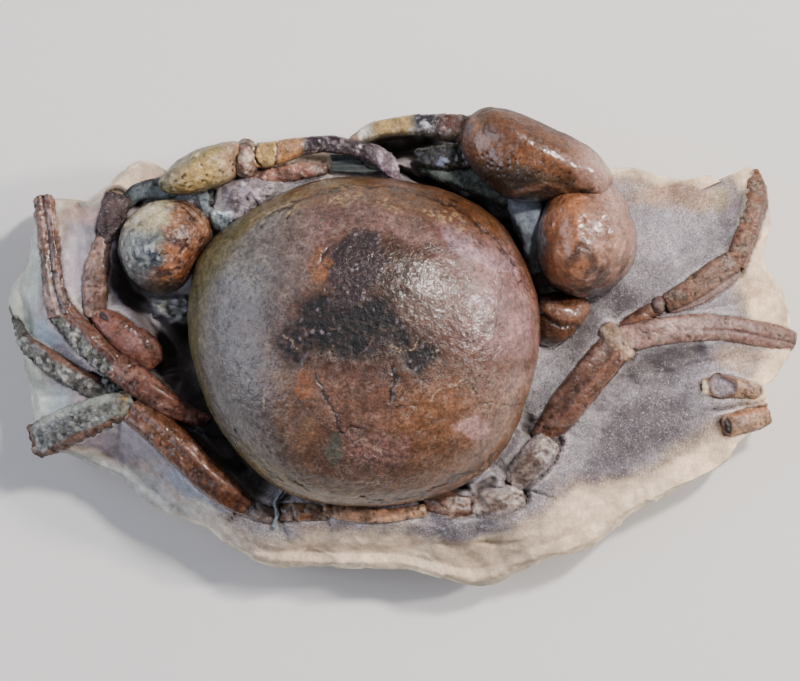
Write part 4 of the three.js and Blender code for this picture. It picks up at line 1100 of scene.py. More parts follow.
def dress_left_wrist(p, n):
    """A ball, bluish and pocked on its left, tan above, with orange-brown crystalline crust on its right."""
    w = warped(p, 4, 1.5, 50)
    fine = noise(p, 1.3, 3, 51)
    crust = soft(w[:, 0] - 0.19 * w[:, 1] + 1.8 * noise(p, 3, 3, 48), -65.5, -61.5)
    tone = flat_tone(p, "6d7068")
    tone = lay(tone, 0.85 * soft(w[:, 1], 27, 32), "b8a67c")
    tone = lay(tone, soft(noise(p, 3.5, 3, 52), 0.1, 0.4) * soft(w[:, 1], 32, 24), "2e3238")
    tone = lay(tone, 0.7 * soft(noise(p, 1.8, 3, 53), 0.25, 0.5), "a9aca4")
    tone = lay(tone, 0.8 * soft(noise(p, 1.5, 3, 59), 0.2, 0.5) * soft(w[:, 1], 33, 29), "23282e")
    tone = lay(tone, 0.9 * crust, "70462c")
    tone = lay(tone, 0.5 * crust * soft(w[:, 1], 27, 21), "8c4c22")
    tone = lay(tone, crust * soft(noise(p, 2, 3, 54), 0.05, 0.4), "33201b")
    tone = lay(tone, 0.5 * crust * soft(noise(p, 0.9, 2, 57), 0.4, 0.65), "a88c80")
    tone = lay(tone, 0.75 * soft(w[:, 1], 19.5, 15), "3c3020")
    tone = vary(tone, p, 1.5, 0.5, 58)
    lift = 0.08 * fine + 0.4 * crust * crusted(p, 0.9, 55)
    lift += (1 - crust) * (0.2 * noise(p, 2.4, 3, 56) + 0.2 * crusted(p, 0.9, 49))
    # the flanks are painted darker as shade
    return lift, lay(tone, 0.6 * shaded_flanks(n), "211a15"), 0.1 + 0.25 * crust, 0.8


def dress_left_palm(p, n):
    """Ochre, olive along its back and tip end, flesh-coloured by the hinge, with dark pits below."""
    w = warped(p, 4, 1.2, 60)
    fine = noise(p, 1.2, 3, 61)
    tone = flat_tone(p, "a68a56")
    tone = lay(tone, 0.7 * soft(w[:, 1] - 0.35 * w[:, 0], 62, 64.5), "5e5a38")
    tone = lay(tone, 0.8 * soft(w[:, 0], -53, -58), "606650")
    tone = lay(tone, 0.8 * soft(w[:, 0], -45, -42), "8e6c58")
    tone = lay(tone, 0.35 * soft(noise(p, 2.6, 3, 65), 0.1, 0.5), "66502f")
    tone = lay(tone, 0.5 * soft(noise(p, 1.8, 3, 66), 0.25, 0.5), "ccb688")
    tone = lay(tone, 0.3 * soft(w[:, 1] - 0.4 * w[:, 0], 60, 57.5), "4a4a3a")
    dimples = pits(p, 1.3, 62, 0.62) * soft(w[:, 1] - 0.4 * w[:, 0], 67, 64)
    tone = vary(lay(tone, 0.9 * dimples, "241c16"), p, 2, 0.4, 63)
    ridge = line(w, [(-56, 42), (-49, 46.5), (-41, 49.5)], 3, 1)
    lift = 0.1 * fine - 0.3 * dimples + 0.3 * noise(p, 5, 3, 64) + 0.6 * ridge + 0.15 * crusted(p, 1.5, 67)
    # the flanks are painted darker as shade
    return lift, lay(tone, 0.65 * shaded_flanks(n), "232418"), 0.2 + 0.2 * soft(fine, 0, 0.6), 0.6


def dress_left_hinge(p, n):
    """A crumbling knuckle, pale crystals in dark cracks."""
    fine = noise(p, 1.2, 3, 70)
    tone = lay(flat_tone(p, "7a5e4e"), soft(fine, 0.1, 0.5), "b09a88")
    tone = lay(tone, soft(noise(p, 2.6, 3, 71), 0.1, 0.4), "382a26")
    lift = 0.6 * noise(p, 3, 3, 72) + 0.5 * crusted(p, 1.3, 73) + 0.05
    # the flanks are painted darker as shade
    return lift, lay(tone, 0.6 * shaded_flanks(n), "281f1b"), 0.4 + 0 * fine, 0.9


def dress_left_upper_finger(p, n, *measures):
    """A tan base with a joint round it, then a near-black rod that ends in a rough lilac-grey tip."""
    w = warped(p, 3, 0.8, 80)
    x = w[:, 0]
    fine = noise(p, 1.2, 3, 81)
    tone = flat_tone(p, "a3824f")
    tone = lay(tone, soft(x, -31, -29.5), "93673f")
    tone = lay(tone, 0.6 * soft(noise(p, 3, 3, 82), 0.1, 0.6), "6d4c34")
    rod = soft(x, -25.5, -23.4)
    tone = lay(tone, rod, "2a1f23")
    tone = lay(tone, rod * soft(fine, 0.2, 0.6), "6f5f66")
    tip = soft(x, -7.5, -4)
    tone = lay(tone, tip, "6b5a60")
    tone = lay(tone, tip * soft(noise(p, 1.8, 2, 85), 0.1, 0.4), "a0909a")
    joint = line(w, [(-30.8, 44), (-30.4, 53)], 0.5, 0.9)
    joint = joint + line(w, [(-35.6, 50.4), (-36.4, 47.6), (-34.6, 45)], 0.45)
    tone = lay(tone, 0.9 * joint, "1c1410")
    lift = 0.08 * fine - 0.6 * joint + 0.3 * rod * noise(p, 2.2, 3, 83) + 0.8 * tip * crusted(p, 1.4, 84)
    tone = vary(tone, p, 1.6, 0.4, 86)
    # the flanks are painted darker as shade
    return lift, lay(tone, 0.6 * shaded_flanks(n), "1f1816"), 0.15 + 0.3 * rod * soft(fine, 0, 0.5) + 0.3 * tip, 0.8


def dress_left_lower_finger(p, n, *measures):
    """Salmon-brown, patched with dark brown and with pale crystals."""
    fine = noise(p, 1.0, 3, 90)
    tone = lay(flat_tone(p, "84594a"), soft(noise(p, 3, 3, 91), -0.2, 0.4), "4e352b")
    tone = lay(tone, soft(fine, 0.4, 0.7), "c09a80")
    tone = lay(tone, soft(p[:, 0], -23, -20), "4c3830")
    tone = vary(tone, p, 1.8, 0.4, 93)
    lift = 0.2 * fine + 0.5 * crusted(p, 1.2, 92)
    # the flanks are painted darker as shade
    return lift, lay(tone, 0.7 * shaded_flanks(n), "2c201b"), 0.35 + 0.2 * fine, 0.8


OUTER_BEND = [(48.5, 44), (52, 40.5), (54.5, 36)]  # the claw's outer edge where palm and wrist meet


def filled(p, other, reach, start):
    """How far a piece swells near the other one, to the right of start, so that the two run together."""
    form = tree_of([other])
    rise = np.zeros(len(p))
    for spot in np.flatnonzero(p[:, 0] > start):
        away = form.find_nearest(Vector((p[spot] + DATUM) * MM), reach * MM)[3]
        if away is not None:
            rise[spot] = 0.4 * (reach - away / MM) ** 2 / reach
    return rise * soft(p[:, 0], start, start + 3.5)


def dress_right_palm(p, n):
    """Glossy red-brown, pitted along its lower edge and painted near black there as shade, chalky by the
    fingers.
    """
    w = warped(p, 5, 1.4, 100)
    fine = noise(p, 1.3, 3, 101)
    # across runs from the claw's lower edge, at 0, to its outer edge
    across = (w[:, 1] - 36.5) + 0.22 * (w[:, 0] - 30)
    tone = flat_tone(p, "5a3823")
    tone = lay(tone, 0.6 * soft(noise(p, 8, 3, 102), 0, 0.7), "6c4429")
    # painted shade: darker towards the claw's lower edge, which turns away from the light
    tone = lay(tone, 0.85 * soft(across, 9, 6.4), "35281a")
    tone = lay(tone, 0.88 * soft(across, 6.4, 3.8), "211913")
    dimples = pits(p, 1.3, 103, 0.7) * soft(across, 11.5, 8.8) * soft(across, 2, 4)
    tone = lay(tone, 0.9 * dimples, "120e0c")
    tone = lay(tone, 0.5 * soft(across, 13.5, 18), "44291a")
    tone = lay(tone, 0.5 * soft(w[:, 0], 21, 16.5) * soft(across, 11, 16), "8a6c58")
    chalk = soft(w[:, 0], 18.4, 16.8) * soft(noise(p, 2.4, 3, 105), -0.1, 0.3)
    tone = lay(tone, 0.8 * chalk, "5f6468")
    tone = vary(vary(tone, p, 5, 0.3, 106), p, 1.5, 0.45, 107)
    keel = line(w, [(24, 55), (31, 52), (40, 46), (47, 40.6)], 4.5, 1)
    shoulder = 1.2 * oval(w, 25, 54.5, 8, 5, -30, 1) + 0.9 * oval(w, 46, 42, 6, 5, -30, 1)
    lift = 0.08 * fine - 0.3 * dimples + 0.15 * noise(p, 4, 3, 104) + 0.6 * keel + shoulder
    lift = lift + 0.5 * chalk * crusted(p, 1.5, 108)
    rim = line(w, [(28, 38.5), (36, 40.6), (47.5, 38)], 1.2, 0.9)
    tone = lay(tone, 0.6 * rim, "6a4630")
    tone = lay(tone, 0.8 * soft(w[:, 0], 40, 47) * soft(across, 7, 9), "967468")
    lift = lift + 0.35 * rim + 0.4 * line(p, OUTER_BEND, 5, 1)
    rough = 0.08 + 0.15 * soft(fine, 0, 0.6) + 0.3 * chalk + 0.5 * soft(across, 13, 17)
    # the flanks are painted darker as shade
    return lift, lay(tone, 0.6 * shaded_flanks(n), "1d1410"), rough, 0.55


def dress_right_wrist(p, n):
    """Orange-brown with a keel down its middle, pinker to the right, blotched dark below."""
    w = warped(p, 5, 1.6, 110)
    fine = noise(p, 1.3, 3, 111)
    tone = flat_tone(p, "855538")
    tone = lay(tone, 0.7 * soft(w[:, 0], 43, 50), "8a6a5e")
    tone = lay(tone, 0.85 * soft(noise(p, 6, 4, 112), 0.0, 0.35) * soft(w[:, 1], 25, 19), "2c1d16")
    tone = lay(tone, 0.8 * line(w, [(42, 22), (45, 26), (47, 19)], 2.2, 0.8), "34251f")
    tone = lay(tone, 0.8 * soft(w[:, 0], 38, 35.4) * soft(noise(p, 3, 3, 115), -0.4, 0.2), "3e434a")
    tone = lay(tone, 0.5 * soft(w[:, 0], 36.6, 35), "8c969c")
    cleft = line(w, [(33, 42.4), (38, 41.6), (43, 41.4), (47.6, 40.6)], 1.8, 0.8)
    tone = lay(tone, 0.9 * cleft, "1a1612")
    tone = lay(tone, 0.8 * soft(w[:, 1], 16.5, 14), "1f1713")
    tone = vary(vary(tone, p, 5, 0.3, 116), p, 1.5, 0.4, 117)
    keel = 1.2 * line(w, [(41.5, 41), (42, 33), (42, 24)], 7, 1)
    keel = keel + 0.7 * line(w, [(48, 42), (50, 35), (51, 28)], 3, 1)
    lift = 0.08 * fine + 0.3 * noise(p, 4, 3, 113) + keel - 0.25 * pits(p, 2.4, 118, 0.2)
    lift += line(p, OUTER_BEND, 5, 1)
    # the flanks are painted darker as shade
    return lift, lay(tone, 0.6 * shaded_flanks(n), "1d1410"), 0.08 + 0.2 * soft(fine, 0.1, 0.7), 0.6


def dress_right_arm(p, n):
    """Dark brown, with a grooved rim towards the wrist."""
    w = warped(p, 3, 0.8, 120)
    fine = noise(p, 1.2, 3, 121)
    tone = lay(flat_tone(p, "40271b"), soft(w[:, 0], 38, 45), "6c4428")
    rim = line(w, [(34.7, 12.5), (38, 9.5), (43, 8), (47, 11)], 2.2, 0.6)
    tone = lay(tone, rim, "6c4a3a")
    tone = lay(tone, soft(noise(p, 3, 3, 122), 0.1, 0.6), "22150f")
    groove = line(w, [(35, 8.6), (39.6, 5.6), (44, 5.4)], 0.8, 0.8)
    tone = lay(tone, 0.8 * groove, "140d0a")
    lift = 0.1 * fine + 0.5 * rim - 0.3 * groove + 0.3 * noise(p, 3, 2, 123)
    # the flanks are painted darker as shade
    return lift, lay(tone, 0.6 * shaded_flanks(n), "1a120f"), 0.1 + 0 * fine, 0.6


def dress_right_upper_finger(p, n, *measures):
    """Cream tip, ochre and mottled black-and-white bands, and a brown base with a joint."""
    w = warped(p, 3, 0.9, 130)
    x = w[:, 0]
    fine = noise(p, 1.1, 3, 131)
    tone = flat_tone(p, "9c8050")
    tone = lay(tone, soft(x, -5, -9), "cfc2ae")
    tone = lay(tone, soft(x, -9.4, -11), "8a6a54")
    tone = lay(tone, soft(x, 1.5, 4.5), "5f5a58")
    tone = lay(tone, soft(x, 1.5, 4) * soft(noise(p, 2.2, 3, 132), 0, 0.3), "26222a")
    tone = lay(tone, soft(x, 1.5, 4) * soft(noise(p, 1.6, 3, 134), 0.25, 0.5), "b0aab0")
    tone = lay(tone, 0.8 * soft(x, 8, 12), "49291e")
    # painted shade on the flank that faces -Y, away from the light
    low = soft(n[:, 1], -0.1, -0.5)
    tone = lay(tone, 0.8 * low, "2e2a1c")
    lift = 0.1 * fine + 0.6 * soft(x, 1.5, 4) * crusted(p, 1.4, 133) + 0.2 * noise(p, 3, 2, 135)
    joint = line(w, [(16.4, 57.6), (14.6, 52)], 0.6, 0.9)
    tone = vary(lay(tone, 0.9 * joint, "120d0b"), p, 1.6, 0.4, 136)
    # the flanks are painted darker as shade
    return lift - 0.7 * joint, lay(tone, 0.6 * shaded_flanks(n), "241c18"), 0.15 + 0.25 * soft(x, 1.5, 4), 0.8


def dress_right_lower_finger(p, n, *measures):
    """Near-black rubble, its darkness partly painted shade of the hollow it lies in, with one painted pale
    glint.
    """
    fine = noise(p, 1.1, 3, 140)
    # near black: partly the finger's own colour, partly painted shade of the hollow under the upper finger
    tone = lay(flat_tone(p, "1e1b14"), soft(noise(p, 2.6, 3, 141), 0, 0.5), "100e0c")
    # a painted glint
    tone = lay(tone, 0.8 * oval(p, 10.5, 46.2, 2.2, 1.4) * soft(fine, -0.2, 0.4), "8a90a4")
    lift = 0.25 * fine + 0.7 * crusted(p, 1.6, 142)
    # the flanks are painted darker as shade
    return lift, lay(tone, 0.6 * shaded_flanks(n), "141110"), 0.15 + 0 * fine, 0.6


# ---------------------------------------------------------------- limbs

# What a joint's own features go by: points, normals, mm along it, mm across it, and its length.
Joint = collections.namedtuple("Joint", "p n along across length")


def leg(base, shade, light, crust=0.0, crust_tone="8c8478", polish=0.2, seed=200, more=None, calm=1.0):
    """The dressing of a leg joint: streaked and cracked cuticle, worn in patches, with limy crust.

    crust is the crust's share, calm turns the contrast and the relief down, and more adds a joint's own
    features.
    """

    def dress(p, n, along, across, length):
        stretched = np.column_stack([along * 0.3, across, p[:, 2]])
        streak = noise(stretched, 1.6, 3, seed)
        cloud = noise(p, 5, 3, seed + 1)
        fine = noise(p, 1.1, 3, seed + 2)
        tone = flat_tone(p, base)
        tone = lay(tone, 0.8 * calm * soft(cloud, 0, 0.5), shade)
        tone = lay(tone, 0.6 * calm * soft(streak, 0.15, 0.6), light)
        tone = lay(tone, 0.4 * calm * soft(noise(p, 1.4, 2, seed + 12), 0.3, 0.6), light)
        crusty = soft(noise(p, 4, 3, seed + 3) + 2.2 * crust - 1.1, -0.15, 0.2) if crust > 0 else 0 * fine
        tone = lay(tone, 0.7 * crusty, crust_tone)
        tone = lay(tone, 0.6 * crusty * soft(fine, 0.0, 0.5), "2f2620")
        ends = soft(np.minimum(along, length - along), 1.0, 0.1)
        cracks = creases(p, 5, 0.05, seed + 8) * soft(noise(p, 6, 2, seed + 9), -0.1, 0.2)
        dents = pits(p, 1.3, seed + 10, 0.35)
        # painted shade in the crease where one joint meets the next: darker at the ends
        tone = lay(tone, 0.5 * ends, shade)
        tone = lay(tone, 0.8 * cracks, "1a110e")
        tone = lay(tone, 0.7 * dents, "1f1612")
        tone = vary(tone, p, 1.5, 0.5, seed + 11)
        lift = 0.22 * streak + 0.16 * fine + 0.25 * noise(p, 6, 2, seed + 6)
        lift += crusty * (0.6 * crusted(p, 1.7, seed + 4) + 0.5 * noise(p, 3, 2, seed + 5))
        lift = calm * lift - 0.35 * cracks - 0.3 * dents - 0.3 * ends
        rough = polish + 0.4 * crusty
        if more:
            lift, tone, rough = more(Joint(p, n, along, across, length), lift, tone, rough)
        # the flanks are painted darker as shade
        return lift, lay(tone, 0.6 * shaded_flanks(n), "1d1512"), rough, 0.6 + 0.4 * crusty

    return dress


def fluted(at, lift, tone, rough):
    """Two ridges run down the joint, with a dark groove between them."""
    top = soft(at.n[:, 2], 0.2, 0.7)
    groove = soft(np.abs(at.across), 0.7, 0.0) * top
    ridges = soft(np.abs(np.abs(at.across) - 1.3), 0.7, 0.0) * top
    tone = lay(tone, 0.85 * groove, "27160f")
    return lift + 0.4 * ridges - 0.5 * groove + 0.5 * crusted(at.p, 1.1, 167), tone, rough


def keeled(at, lift, tone, rough):
    """A blunt keel along the joint's upper edge, with a painted highlight along it."""
    keel = soft(np.abs(at.across + 1.2), 1.5, 0.0) * soft(at.n[:, 2], 0.2, 0.8)
    return lift + 0.5 * keel, lay(tone, 0.3 * keel, "8a5a44"), rough * (1 - 0.5 * keel)


def rubble(p, size, seed, base, light, dark):
    """Broken crystals of matrix of that size: their colour and relief."""
    crevice, lot, slant = grains(p, size, seed)[1:]
    tone = lay(flat_tone(p, base), soft(lot, 0.62, 0.82), light)
    tone = lay(tone, np.maximum(soft(lot, 0.35, 0.15), 0.7 * soft(crevice, 0.2, 0)), dark)
    return tone, (0.9 * slant + 0.6 * (lot - 0.5)) * soft(crevice, 0, 0.15)


def half_buried(at, lift, tone, rough):
    """Copper-brown cuticle along the upper edge; the lower half is worn through to grey-green rubble."""
    shell = soft(at.across + 0.8 * noise(at.p, 3, 3, 152), 0.4, -0.4)
    ridge = soft(np.abs(at.across + 1.6), 1.0, 0.0) * soft(at.n[:, 2], 0.1, 0.6)
    stones, relief = rubble(at.p, 1.3, 153, "56554e", "918f86", "2a2824")
    tone = stones + shell[:, None] * (lay(tone, 0.5 * shell, "4e2e20") - stones)
    return lift * shell + (1 - shell) * (0.8 * relief - 0.3) + 0.4 * ridge, tone, rough * (1 - 0.7 * shell)


def banded(at, lift, tone, rough):
    """Lengthwise bands: a pale edge above, grey-green lumps, and a red-brown edge below."""
    shift = 0.7 * noise(at.p, 4, 3, 154)
    stones, relief = rubble(at.p, 1.4, 160, "666864", "9c9e9a", "34342f")
    lumpy = soft(at.across + shift, -2.4, -1.2) * soft(at.along, 3, 7)
    tone = tone + 0.7 * lumpy[:, None] * (stones - tone)
    lift = lift + 0.7 * lumpy * relief
    tone = lay(tone, 0.7 * soft(at.across + shift, -1.8, -3), "92978c")
    tone = lay(tone, 0.85 * soft(at.across + shift, 2.2, 3.2), "5a3a2a")
    tone = lay(tone, 0.6 * soft(at.along, 5, 1) * soft(noise(at.p, 2.4, 3, 155), -0.3, 0.2), "9a7434")
    snapped = soft(at.along, at.length - 4, at.length - 0.5)
    tone = lay(tone, 0.7 * snapped, "6a4436")
    return lift - 0.8 * snapped * (0.5 + noise(at.p, 2, 2, 150)), tone, rough + 0.4 * snapped


def brown_edged(at, lift, tone, rough):
    """A band of brown cuticle is left along the upper edge."""
    edge = soft(at.across + 0.6 * noise(at.p, 3, 3, 156), -1.1, -1.8) * soft(at.along, 5, 8)
    stones, relief = rubble(at.p, 1.3, 161, "54524c", "94928c", "2a2824")
    tone = stones + 0.85 * edge[:, None] * (srgb("6a4530") - stones)
    return 0.5 * lift + 0.6 * (1 - edge) * relief, tone, rough * (1 - 0.4 * edge)


def cragged(at, lift, tone, rough):
    """A broken stump: crystals, some dark brown and some pale, with a scrap of cuticle."""
    stones, relief = rubble(warped(at.p, 3, 0.8, 162), 2.6, 163, "76655c", "b8aaa0", "33251e")
    grit, fine = rubble(at.p, 1.2, 164, "76655c", "a89c94", "44352d")
    tone = 0.4 * tone + 0.4 * stones + 0.2 * grit
    tone = lay(tone, 0.8 * soft(noise(at.p, 4, 3, 165), 0.1, 0.5), "44322a")
    tone = lay(tone, 0.8 * soft(np.abs(at.across), 2, 3.4), "7c7273")
    return 0.7 * lift + 0.4 * relief + 0.2 * fine - 0.3, tone, 0.6 * rough


def pink_hearted(at, lift, tone, rough):
    """A smooth red-orange oval, worn to a granular pink in the middle."""
    heart = oval(warped(at.p, 2, 0.6, 157), -67.2, 1.6, 4.2, 2.8, -38, 0.5)
    knot = oval(warped(at.p, 2, 0.6, 158), -74, 7.8, 2, 1.2, -30, 0.5)
    tone = lay(tone, 0.75 * heart, "8c645c")
    tone = lay(tone, 0.9 * knot, "1c1216")
    return 0.6 * lift + 0.4 * heart * noise(at.p, 1.2, 2, 159) - 0.4 * knot, tone, rough + 0.25 * heart


def bevelled(at, lift, tone, rough):
    """Flat on top, with a paler bevel along its far side."""
    bevel = soft(at.across, -1.2, -2.4)
    edge = soft(np.abs(at.across + 1.8), 0.45, 0.0) * soft(at.n[:, 2], 0.3, 0.7)
    tone = lay(tone, 0.5 * bevel, "84706a")
    tone = lay(tone, 0.7 * edge, "33241e")
    return lift - 0.5 * bevel - 0.25 * edge, tone, rough


def grooved(at, lift, tone, rough):
    """A long dark groove on a broad, worn top."""
    top = soft(at.n[:, 2], 0.3, 0.7)
    groove = soft(np.abs(at.across + 0.5 + 0.6 * noise(at.p, 9, 2, 151)), 0.5, 0.0) * top
    shown = groove * soft(at.along, at.length * 0.35, at.length * 0.5)
    tone = lay(tone, 0.6 * soft(at.along, at.length * 0.3, at.length * 0.6), "5e423a")
    return lift - 0.4 * shown, lay(tone, 0.6 * shown, "3f2b28"), rough


def open_ring(at, lift, tone, rough):
    """The joint is broken open: a thin wall round a paler filling, with a chalky crescent at one end."""
    w = warped(at.p, 3, 0.9, 166)
    out = np.hypot((w[:, 0] - 80.6) / 3.7, (w[:, 1] + 9.6) / 2.8)
    wall = soft(np.abs(out - 0.9), 0.22, 0.05)
    tone = lay(tone, soft(out, 0.95, 0.8), "84777a")
    tone = lay(tone, 0.8 * wall, "4c332b")
    tone = lay(tone, oval(at.p, 75.8, -9.9, 1.6, 2.2), "d8c4a4")
    return lift + 0.4 * wall - 0.6 * soft(out, 0.9, 0.7), tone, rough


def dark_end(at, lift, tone, rough):
    """The near end is broken off square, and shows the dark filling."""
    tone = lay(tone, oval(at.p, 82.1, -19.8, 1.4, 3, 8), "221b17")
    tone = lay(tone, 0.6 * line(at.p, [(83.5, -17.2), (91.5, -15.2)], 0.8), "9a6440")
    return lift - 0.5 * oval(at.p, 82.1, -19.8, 1.2, 2.6, 8), tone, rough


def dress_knuckle(p, n):
    """The round knuckle beyond the sliver of thigh, measured along X as if it were a leg joint."""
    dress = leg("5d4540", "3e2822", "7f6c68", 0.2, "7a6c64", 0.25, 390)
    return dress(p, n, p[:, 0] - p[:, 0].min(), p[:, 1] - p[:, 1].mean(), np.ptp(p[:, 0]))


LIMB_DRESSES = {
    "left_leg_1_shin": leg("80604f", "5c4036", "a88678", 0.2, "94807a", 0.2, 210),
    "left_leg_1_foot": leg("38261f", "1e1512", "6a5048", 0.7, "4c3c3c", 0.1, 220),
    "left_leg_1_thigh": leg("704234", "502f25", "885e52", 0, "8a7668", 0.42, 230, pink_hearted),
    "left_leg_2_knee": leg("664438", "3c2820", "866452", 0, "8a7668", 0.1, 240, half_buried),
    "left_leg_2_thigh": leg("603a2e", "40281f", "8a6254", 0.15, "8a6c60", 0.03, 250, keeled),
    "left_leg_2_foot": leg("604032", "33211a", "aa8c80", 0.15, "7c6a5c", 0.0, 260, fluted),
    "left_leg_4_thigh": leg("52301e", "362015", "785038", 0.12, "7c6854", 0.03, 270, keeled),
    "left_leg_4_foot": leg("6a685c", "46453e", "98968a", 0.55, "7c7e7c", 0.2, 280, banded),
    "left_leg_3_foot": leg("3e362c", "1d1a18", "645444", 0.6, "4e504c", 0.15, 290, brown_edged),
    "tail_rim": leg("9e7456", "684c38", "b8967a", 0.2, "8c7464", 0.2, 300),
    "left_hip_3": leg("47301f", "241a15", "7a6048", 0.3, "746c62", 0.15, 310, cragged),
    "left_hip_4": leg("60381f", "311f16", "86684c", 0.4, "8c7c6a", 0.2, 320),
    "right_hip_4": leg("56382a", "231811", "806858", 0.3, "907868", 0.15, 330),
    "right_hip_3": leg("5c4a40", "2c1f19", "9c8a7c", 0.4, "766a64", 0.05, 340, cragged),
    "right_hip_2": leg("705d54", "3c2f28", "988880", 0.3, "7c7068", 0.1, 350, cragged),
    "right_leg_2_knee": leg("92755f", "4c392a", "bca48e", 0.3, "a8927c", 0.25, 360, None, 0.7),
    "right_leg_2_thigh": leg("5c4034", "3e2a21", "86645a", 0.25, "84746a", 0.1, 370, keeled, 0.6),
    "right_leg_2_shin": leg("84645a", "644840", "a88a7e", 0.3, "a89684", 0.35, 380, grooved, 0.5),
    "right_leg_1_thigh": leg("4e2f20", "351f17", "6d4a38", 0.15, "6a5a4a", 0.2, 400),
    "right_leg_1_shin": leg("654839", "462d23", "84644f", 0.35, "7c6c60", 0.55, 410, bevelled, 0.3),
    "right_leg_1_foot": leg("684635", "4a3022", "84604b", 0.35, "7a6a5e", 0.55, 420, bevelled, 0.3),
    "right_leg_3_stub": leg("8a6a52", "6a4e40", "a38a76", 0.2, "988a7c", 0.5, 430, open_ring),
    "right_leg_4_stub": leg("8a684e", "6d5040", "a78c74", 0.2, "a0907c", 0.4, 440, dark_end),
    "left_claw_upper_finger": dress_left_upper_finger,
    "left_claw_lower_finger": dress_left_lower_finger,
    "right_claw_upper_finger": dress_right_upper_finger,
    "right_claw_lower_finger": dress_right_lower_finger,
}
ROUGH_LIMBS = {
    "left_leg_1_foot", "left_leg_2_knee", "left_leg_4_foot", "left_leg_3_foot", "left_hip_3", "right_hip_3",
    "right_hip_2", "right_leg_2_knee", "right_leg_3_stub", "right_claw_lower_finger",
}

# Matrix left standing between the pieces: middle line as for a limb, then base, dark and light tones.
MATRIX_PIECES = {
    "web_by_right_wrist": ([
        (30.6, 42, 28, 5.4, 3), (31, 38, 27.6, 5, 4), (31.8, 33, 27, 4.2, 5), (33.2, 27.5, 26.4, 3.2, 5),
        (34.4, 20, 25, 2, 4),
    ], ("666e76", "4a5058", "7e8890")),
    "ledge_under_right_palm": ([
        (5.6, 45.4, 26, 1.2, 2), (9, 44.6, 27, 2.4, 3), (14, 43.2, 27, 3.2, 4), (20, 41.2, 27, 3.6, 4),
        (25, 39, 27, 3.6, 4), (30, 37.8, 26.5, 3.4, 4), (33.6, 37, 26, 2.2, 3),
    ], ("272a22", "141512", "5c645e")),
    "band_under_left_palm": ([
        (-68.6, 36, 22.4, 1.4, 2), (-65.4, 38.6, 23.6, 2.2, 3), (-60, 39.6, 24.6, 2.6, 4),
        (-55, 39.4, 25.4, 2.4, 4), (-50, 38.8, 26.6, 2.2, 3), (-46.6, 38.4, 27.4, 1.6, 2.4),
    ], ("4a504e", "242826", "6c7472")),
    "strand_by_left_hip": ([
        (-29.6, -36, 27, 0.7, 1.2), (-31, -38.4, 28, 0.7, 1.4), (-30.6, -41, 28.2, 0.7, 1.4),
        (-31.2, -43.8, 27, 0.6, 1),
    ], ("7d8486", "54585a", "b4bcbe")),
}


def dress_matrix(p, n, base, shade, light):
    """Clayey matrix, paler on the faces that look up, as painted light."""
    fine = noise(p, 1.3, 3, 500)
    tone = lay(flat_tone(p, base), soft(noise(p, 3, 3, 501), 0, 0.5), shade)
    # painted light: paler on the faces that look up
    tone = lay(tone, 0.7 * soft(n[:, 2], 0.75, 0.95) * soft(fine, -0.5, 0.3), light)
    lift = 0.5 * noise(p, 4, 3, 502) + 0.4 * crusted(p, 1.8, 503)
    return lift, tone, 0.4 + 0 * fine, 0


# ---------------------------------------------------------------- assembly

# name, polish, grain, granule, coat, pale
carapace_lacquer = shell_material("lacquered_carapace", 0.3, 1.5, 0.6, 0.42, "c0ae9e")
brown_lacquer = shell_material("lacquered_brown_claw", 0.26, 1.8, 0.9, 0.7, "baa292")
mottled_lacquer = shell_material("crusted_claw_wrist", 0.26, 1.4, 0.8, 0.5, "c0b8b0")
tan_lacquer = shell_material("lacquered_tan_claw", 0.3, 1.4, 0.8, 0.4, "c8bca8")
leg_lacquer = shell_material("lacquered_leg", 0.26, 1.4, 0.8, 0.5, "b8a090")
crust_lacquer = shell_material("limy_crust", 0.32, 1.2, 0.8, 0.35, "bcb4a8")

# name: slot, material, mesh spacing in mm, rounds of wear, swelling in mm, dressing
BODIES = {
    "carapace": ("carapace_shell", carapace_lacquer, 0.36, 220, 0.45, dress_carapace),
    "left_claw_wrist": ("mottled_shell", mottled_lacquer, 0.36, 60, 0.35, dress_left_wrist),
    "left_claw_palm": ("tan_shell", tan_lacquer, 0.36, 50, 0.35, dress_left_palm),
    "left_claw_hinge": ("tan_shell", tan_lacquer, 0.34, 20, 0.45, dress_left_hinge),
    "right_claw_palm": ("brown_shell", brown_lacquer, 0.38, 80, 0.3, dress_right_palm),
    "right_claw_wrist": ("brown_shell", brown_lacquer, 0.38, 70, 0.3, dress_right_wrist),
    "right_claw_arm": ("brown_shell", brown_lacquer, 0.36, 30, 0.3, dress_right_arm),
    "right_leg_1_knuckle": ("leg_shell", leg_lacquer, 0.34, 20, 0.3, dress_knuckle),
}
# Pieces that run together with another one: that one, how near it and right of which x.
JOINED = {
    "right_claw_palm": ("right_claw_wrist", 6.5, 45), "right_claw_wrist": ("right_claw_palm", 6.5, 45),
    "left_claw_palm": ("left_claw_hinge", 4, -47), "left_claw_hinge": ("left_claw_palm", 3, -47),
}
for node, (slot, material, spacing, rounds, swelling, dressing) in BODIES.items():
    skin = dressed(resurfaced(node, spacing, rounds), dressing, swelling, joined=JOINED.get(node))
    solid_piece(node + "_surface", skin, slot, material, node)

for node, stations in LIMBS.items():
    skin, *measures = limb_mesh(node + "_surface", stations, BOXY.get(node, BOXINESS))
    dressed(skin, LIMB_DRESSES[node], LIMB_SWELLING, measures)
    if node in ROUGH_LIMBS:
        slot, material = "rough_shell", crust_lacquer
    elif "claw" in node:
        slot, material = "tan_shell", tan_lacquer
    else:
        slot, material = "leg_shell", leg_lacquer
    solid_piece(node + "_surface", skin, slot, material, node)

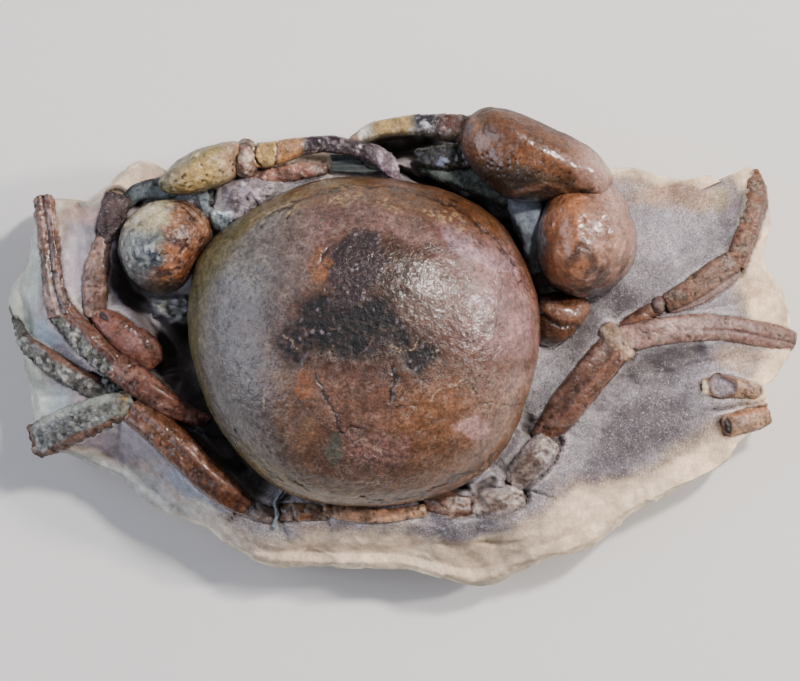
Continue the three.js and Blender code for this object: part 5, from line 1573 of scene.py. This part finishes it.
sandstone = stone_material()
solid_piece("stone_slab_surface", stone_mesh(), "matrix_stone", sandstone, "stone_slab")
for name, (stations, tones) in MATRIX_PIECES.items():
    skin = limb_mesh(name, stations, BOXY.get(name, BOXINESS))[0]
    solid_piece(name, dressed(skin, dress_matrix, 0, tones), "matrix_stone", sandstone)

# ---------------------------------------------------------------- floor, lights and camera

FLOOR_HALF = 1.5
corners = [(x * FLOOR_HALF, y * FLOOR_HALF, 0) for x, y in ((-1, -1), (1, -1), (1, 1), (-1, 1))]
floor_mesh = bpy.data.meshes.new("floor")
floor_mesh.from_pydata(corners, [], [(0, 1, 2, 3)])
floor_mesh.materials.append(floor_material())
floor = bpy.data.objects.new("floor", floor_mesh)
bpy.context.scene.collection.objects.link(floor)


def softbox(name, azimuth, elevation, away, size, power, warmth="ffffff"):
    """A square light that faces the fossil, at an azimuth anticlockwise from +X seen from above."""
    lamp = bpy.data.lights.new(name, "AREA")
    lamp.shape = "RECTANGLE"
    lamp.size, lamp.size_y = size
    lamp.energy = power
    lamp.color = srgb(warmth)
    stand = bpy.data.objects.new(name, lamp)
    around, up = math.radians(azimuth), math.radians(elevation)
    stand.location = away * Vector((
        math.cos(around) * math.cos(up), math.sin(around) * math.cos(up), math.sin(up)))
    stand.rotation_euler = stand.location.to_track_quat("Z", "Y").to_euler()
    bpy.context.scene.collection.objects.link(stand)


# name, azimuth, elevation, m away, m wide and high, watts, colour
softbox("key", 44, 56, 1.0, (0.08, 0.12), 10.6, "fffaf6")
softbox("second_key", 12, 38, 1.0, (0.08, 0.08), 7.5, "fff8f4")
softbox("right_fill", 20, 30, 1.5, (1.2, 0.8), 10.5, "f8f3f8")
softbox("left_fill", 178, 32, 1.4, (1.4, 1.0), 19.5, "e0e8ff")

world = bpy.data.worlds.new("studio")
world.use_nodes = True
world.node_tree.nodes["Background"].inputs["Color"].default_value = colour("e6e8ec")
world.node_tree.nodes["Background"].inputs["Strength"].default_value = 0.16
bpy.context.scene.world = world

CAMERA_HEIGHT = 1.2  # above the fossil's face
FACE_HEIGHT = 0.022
VIEW_WIDTH = 0.2  # seen across the picture at the face, in m
AIM = np.array([0.0, 1.875, 0.0]) + DATUM  # the middle of the picture, in mm
lens = bpy.data.cameras.new("camera")
lens.sensor_width = 36
lens.lens = lens.sensor_width * CAMERA_HEIGHT / VIEW_WIDTH
lens.clip_end = 20
camera = bpy.data.objects.new("camera", lens)
camera.location = (AIM[0] * MM, AIM[1] * MM, CAMERA_HEIGHT + FACE_HEIGHT)
bpy.context.scene.collection.objects.link(camera)
bpy.context.scene.camera = camera
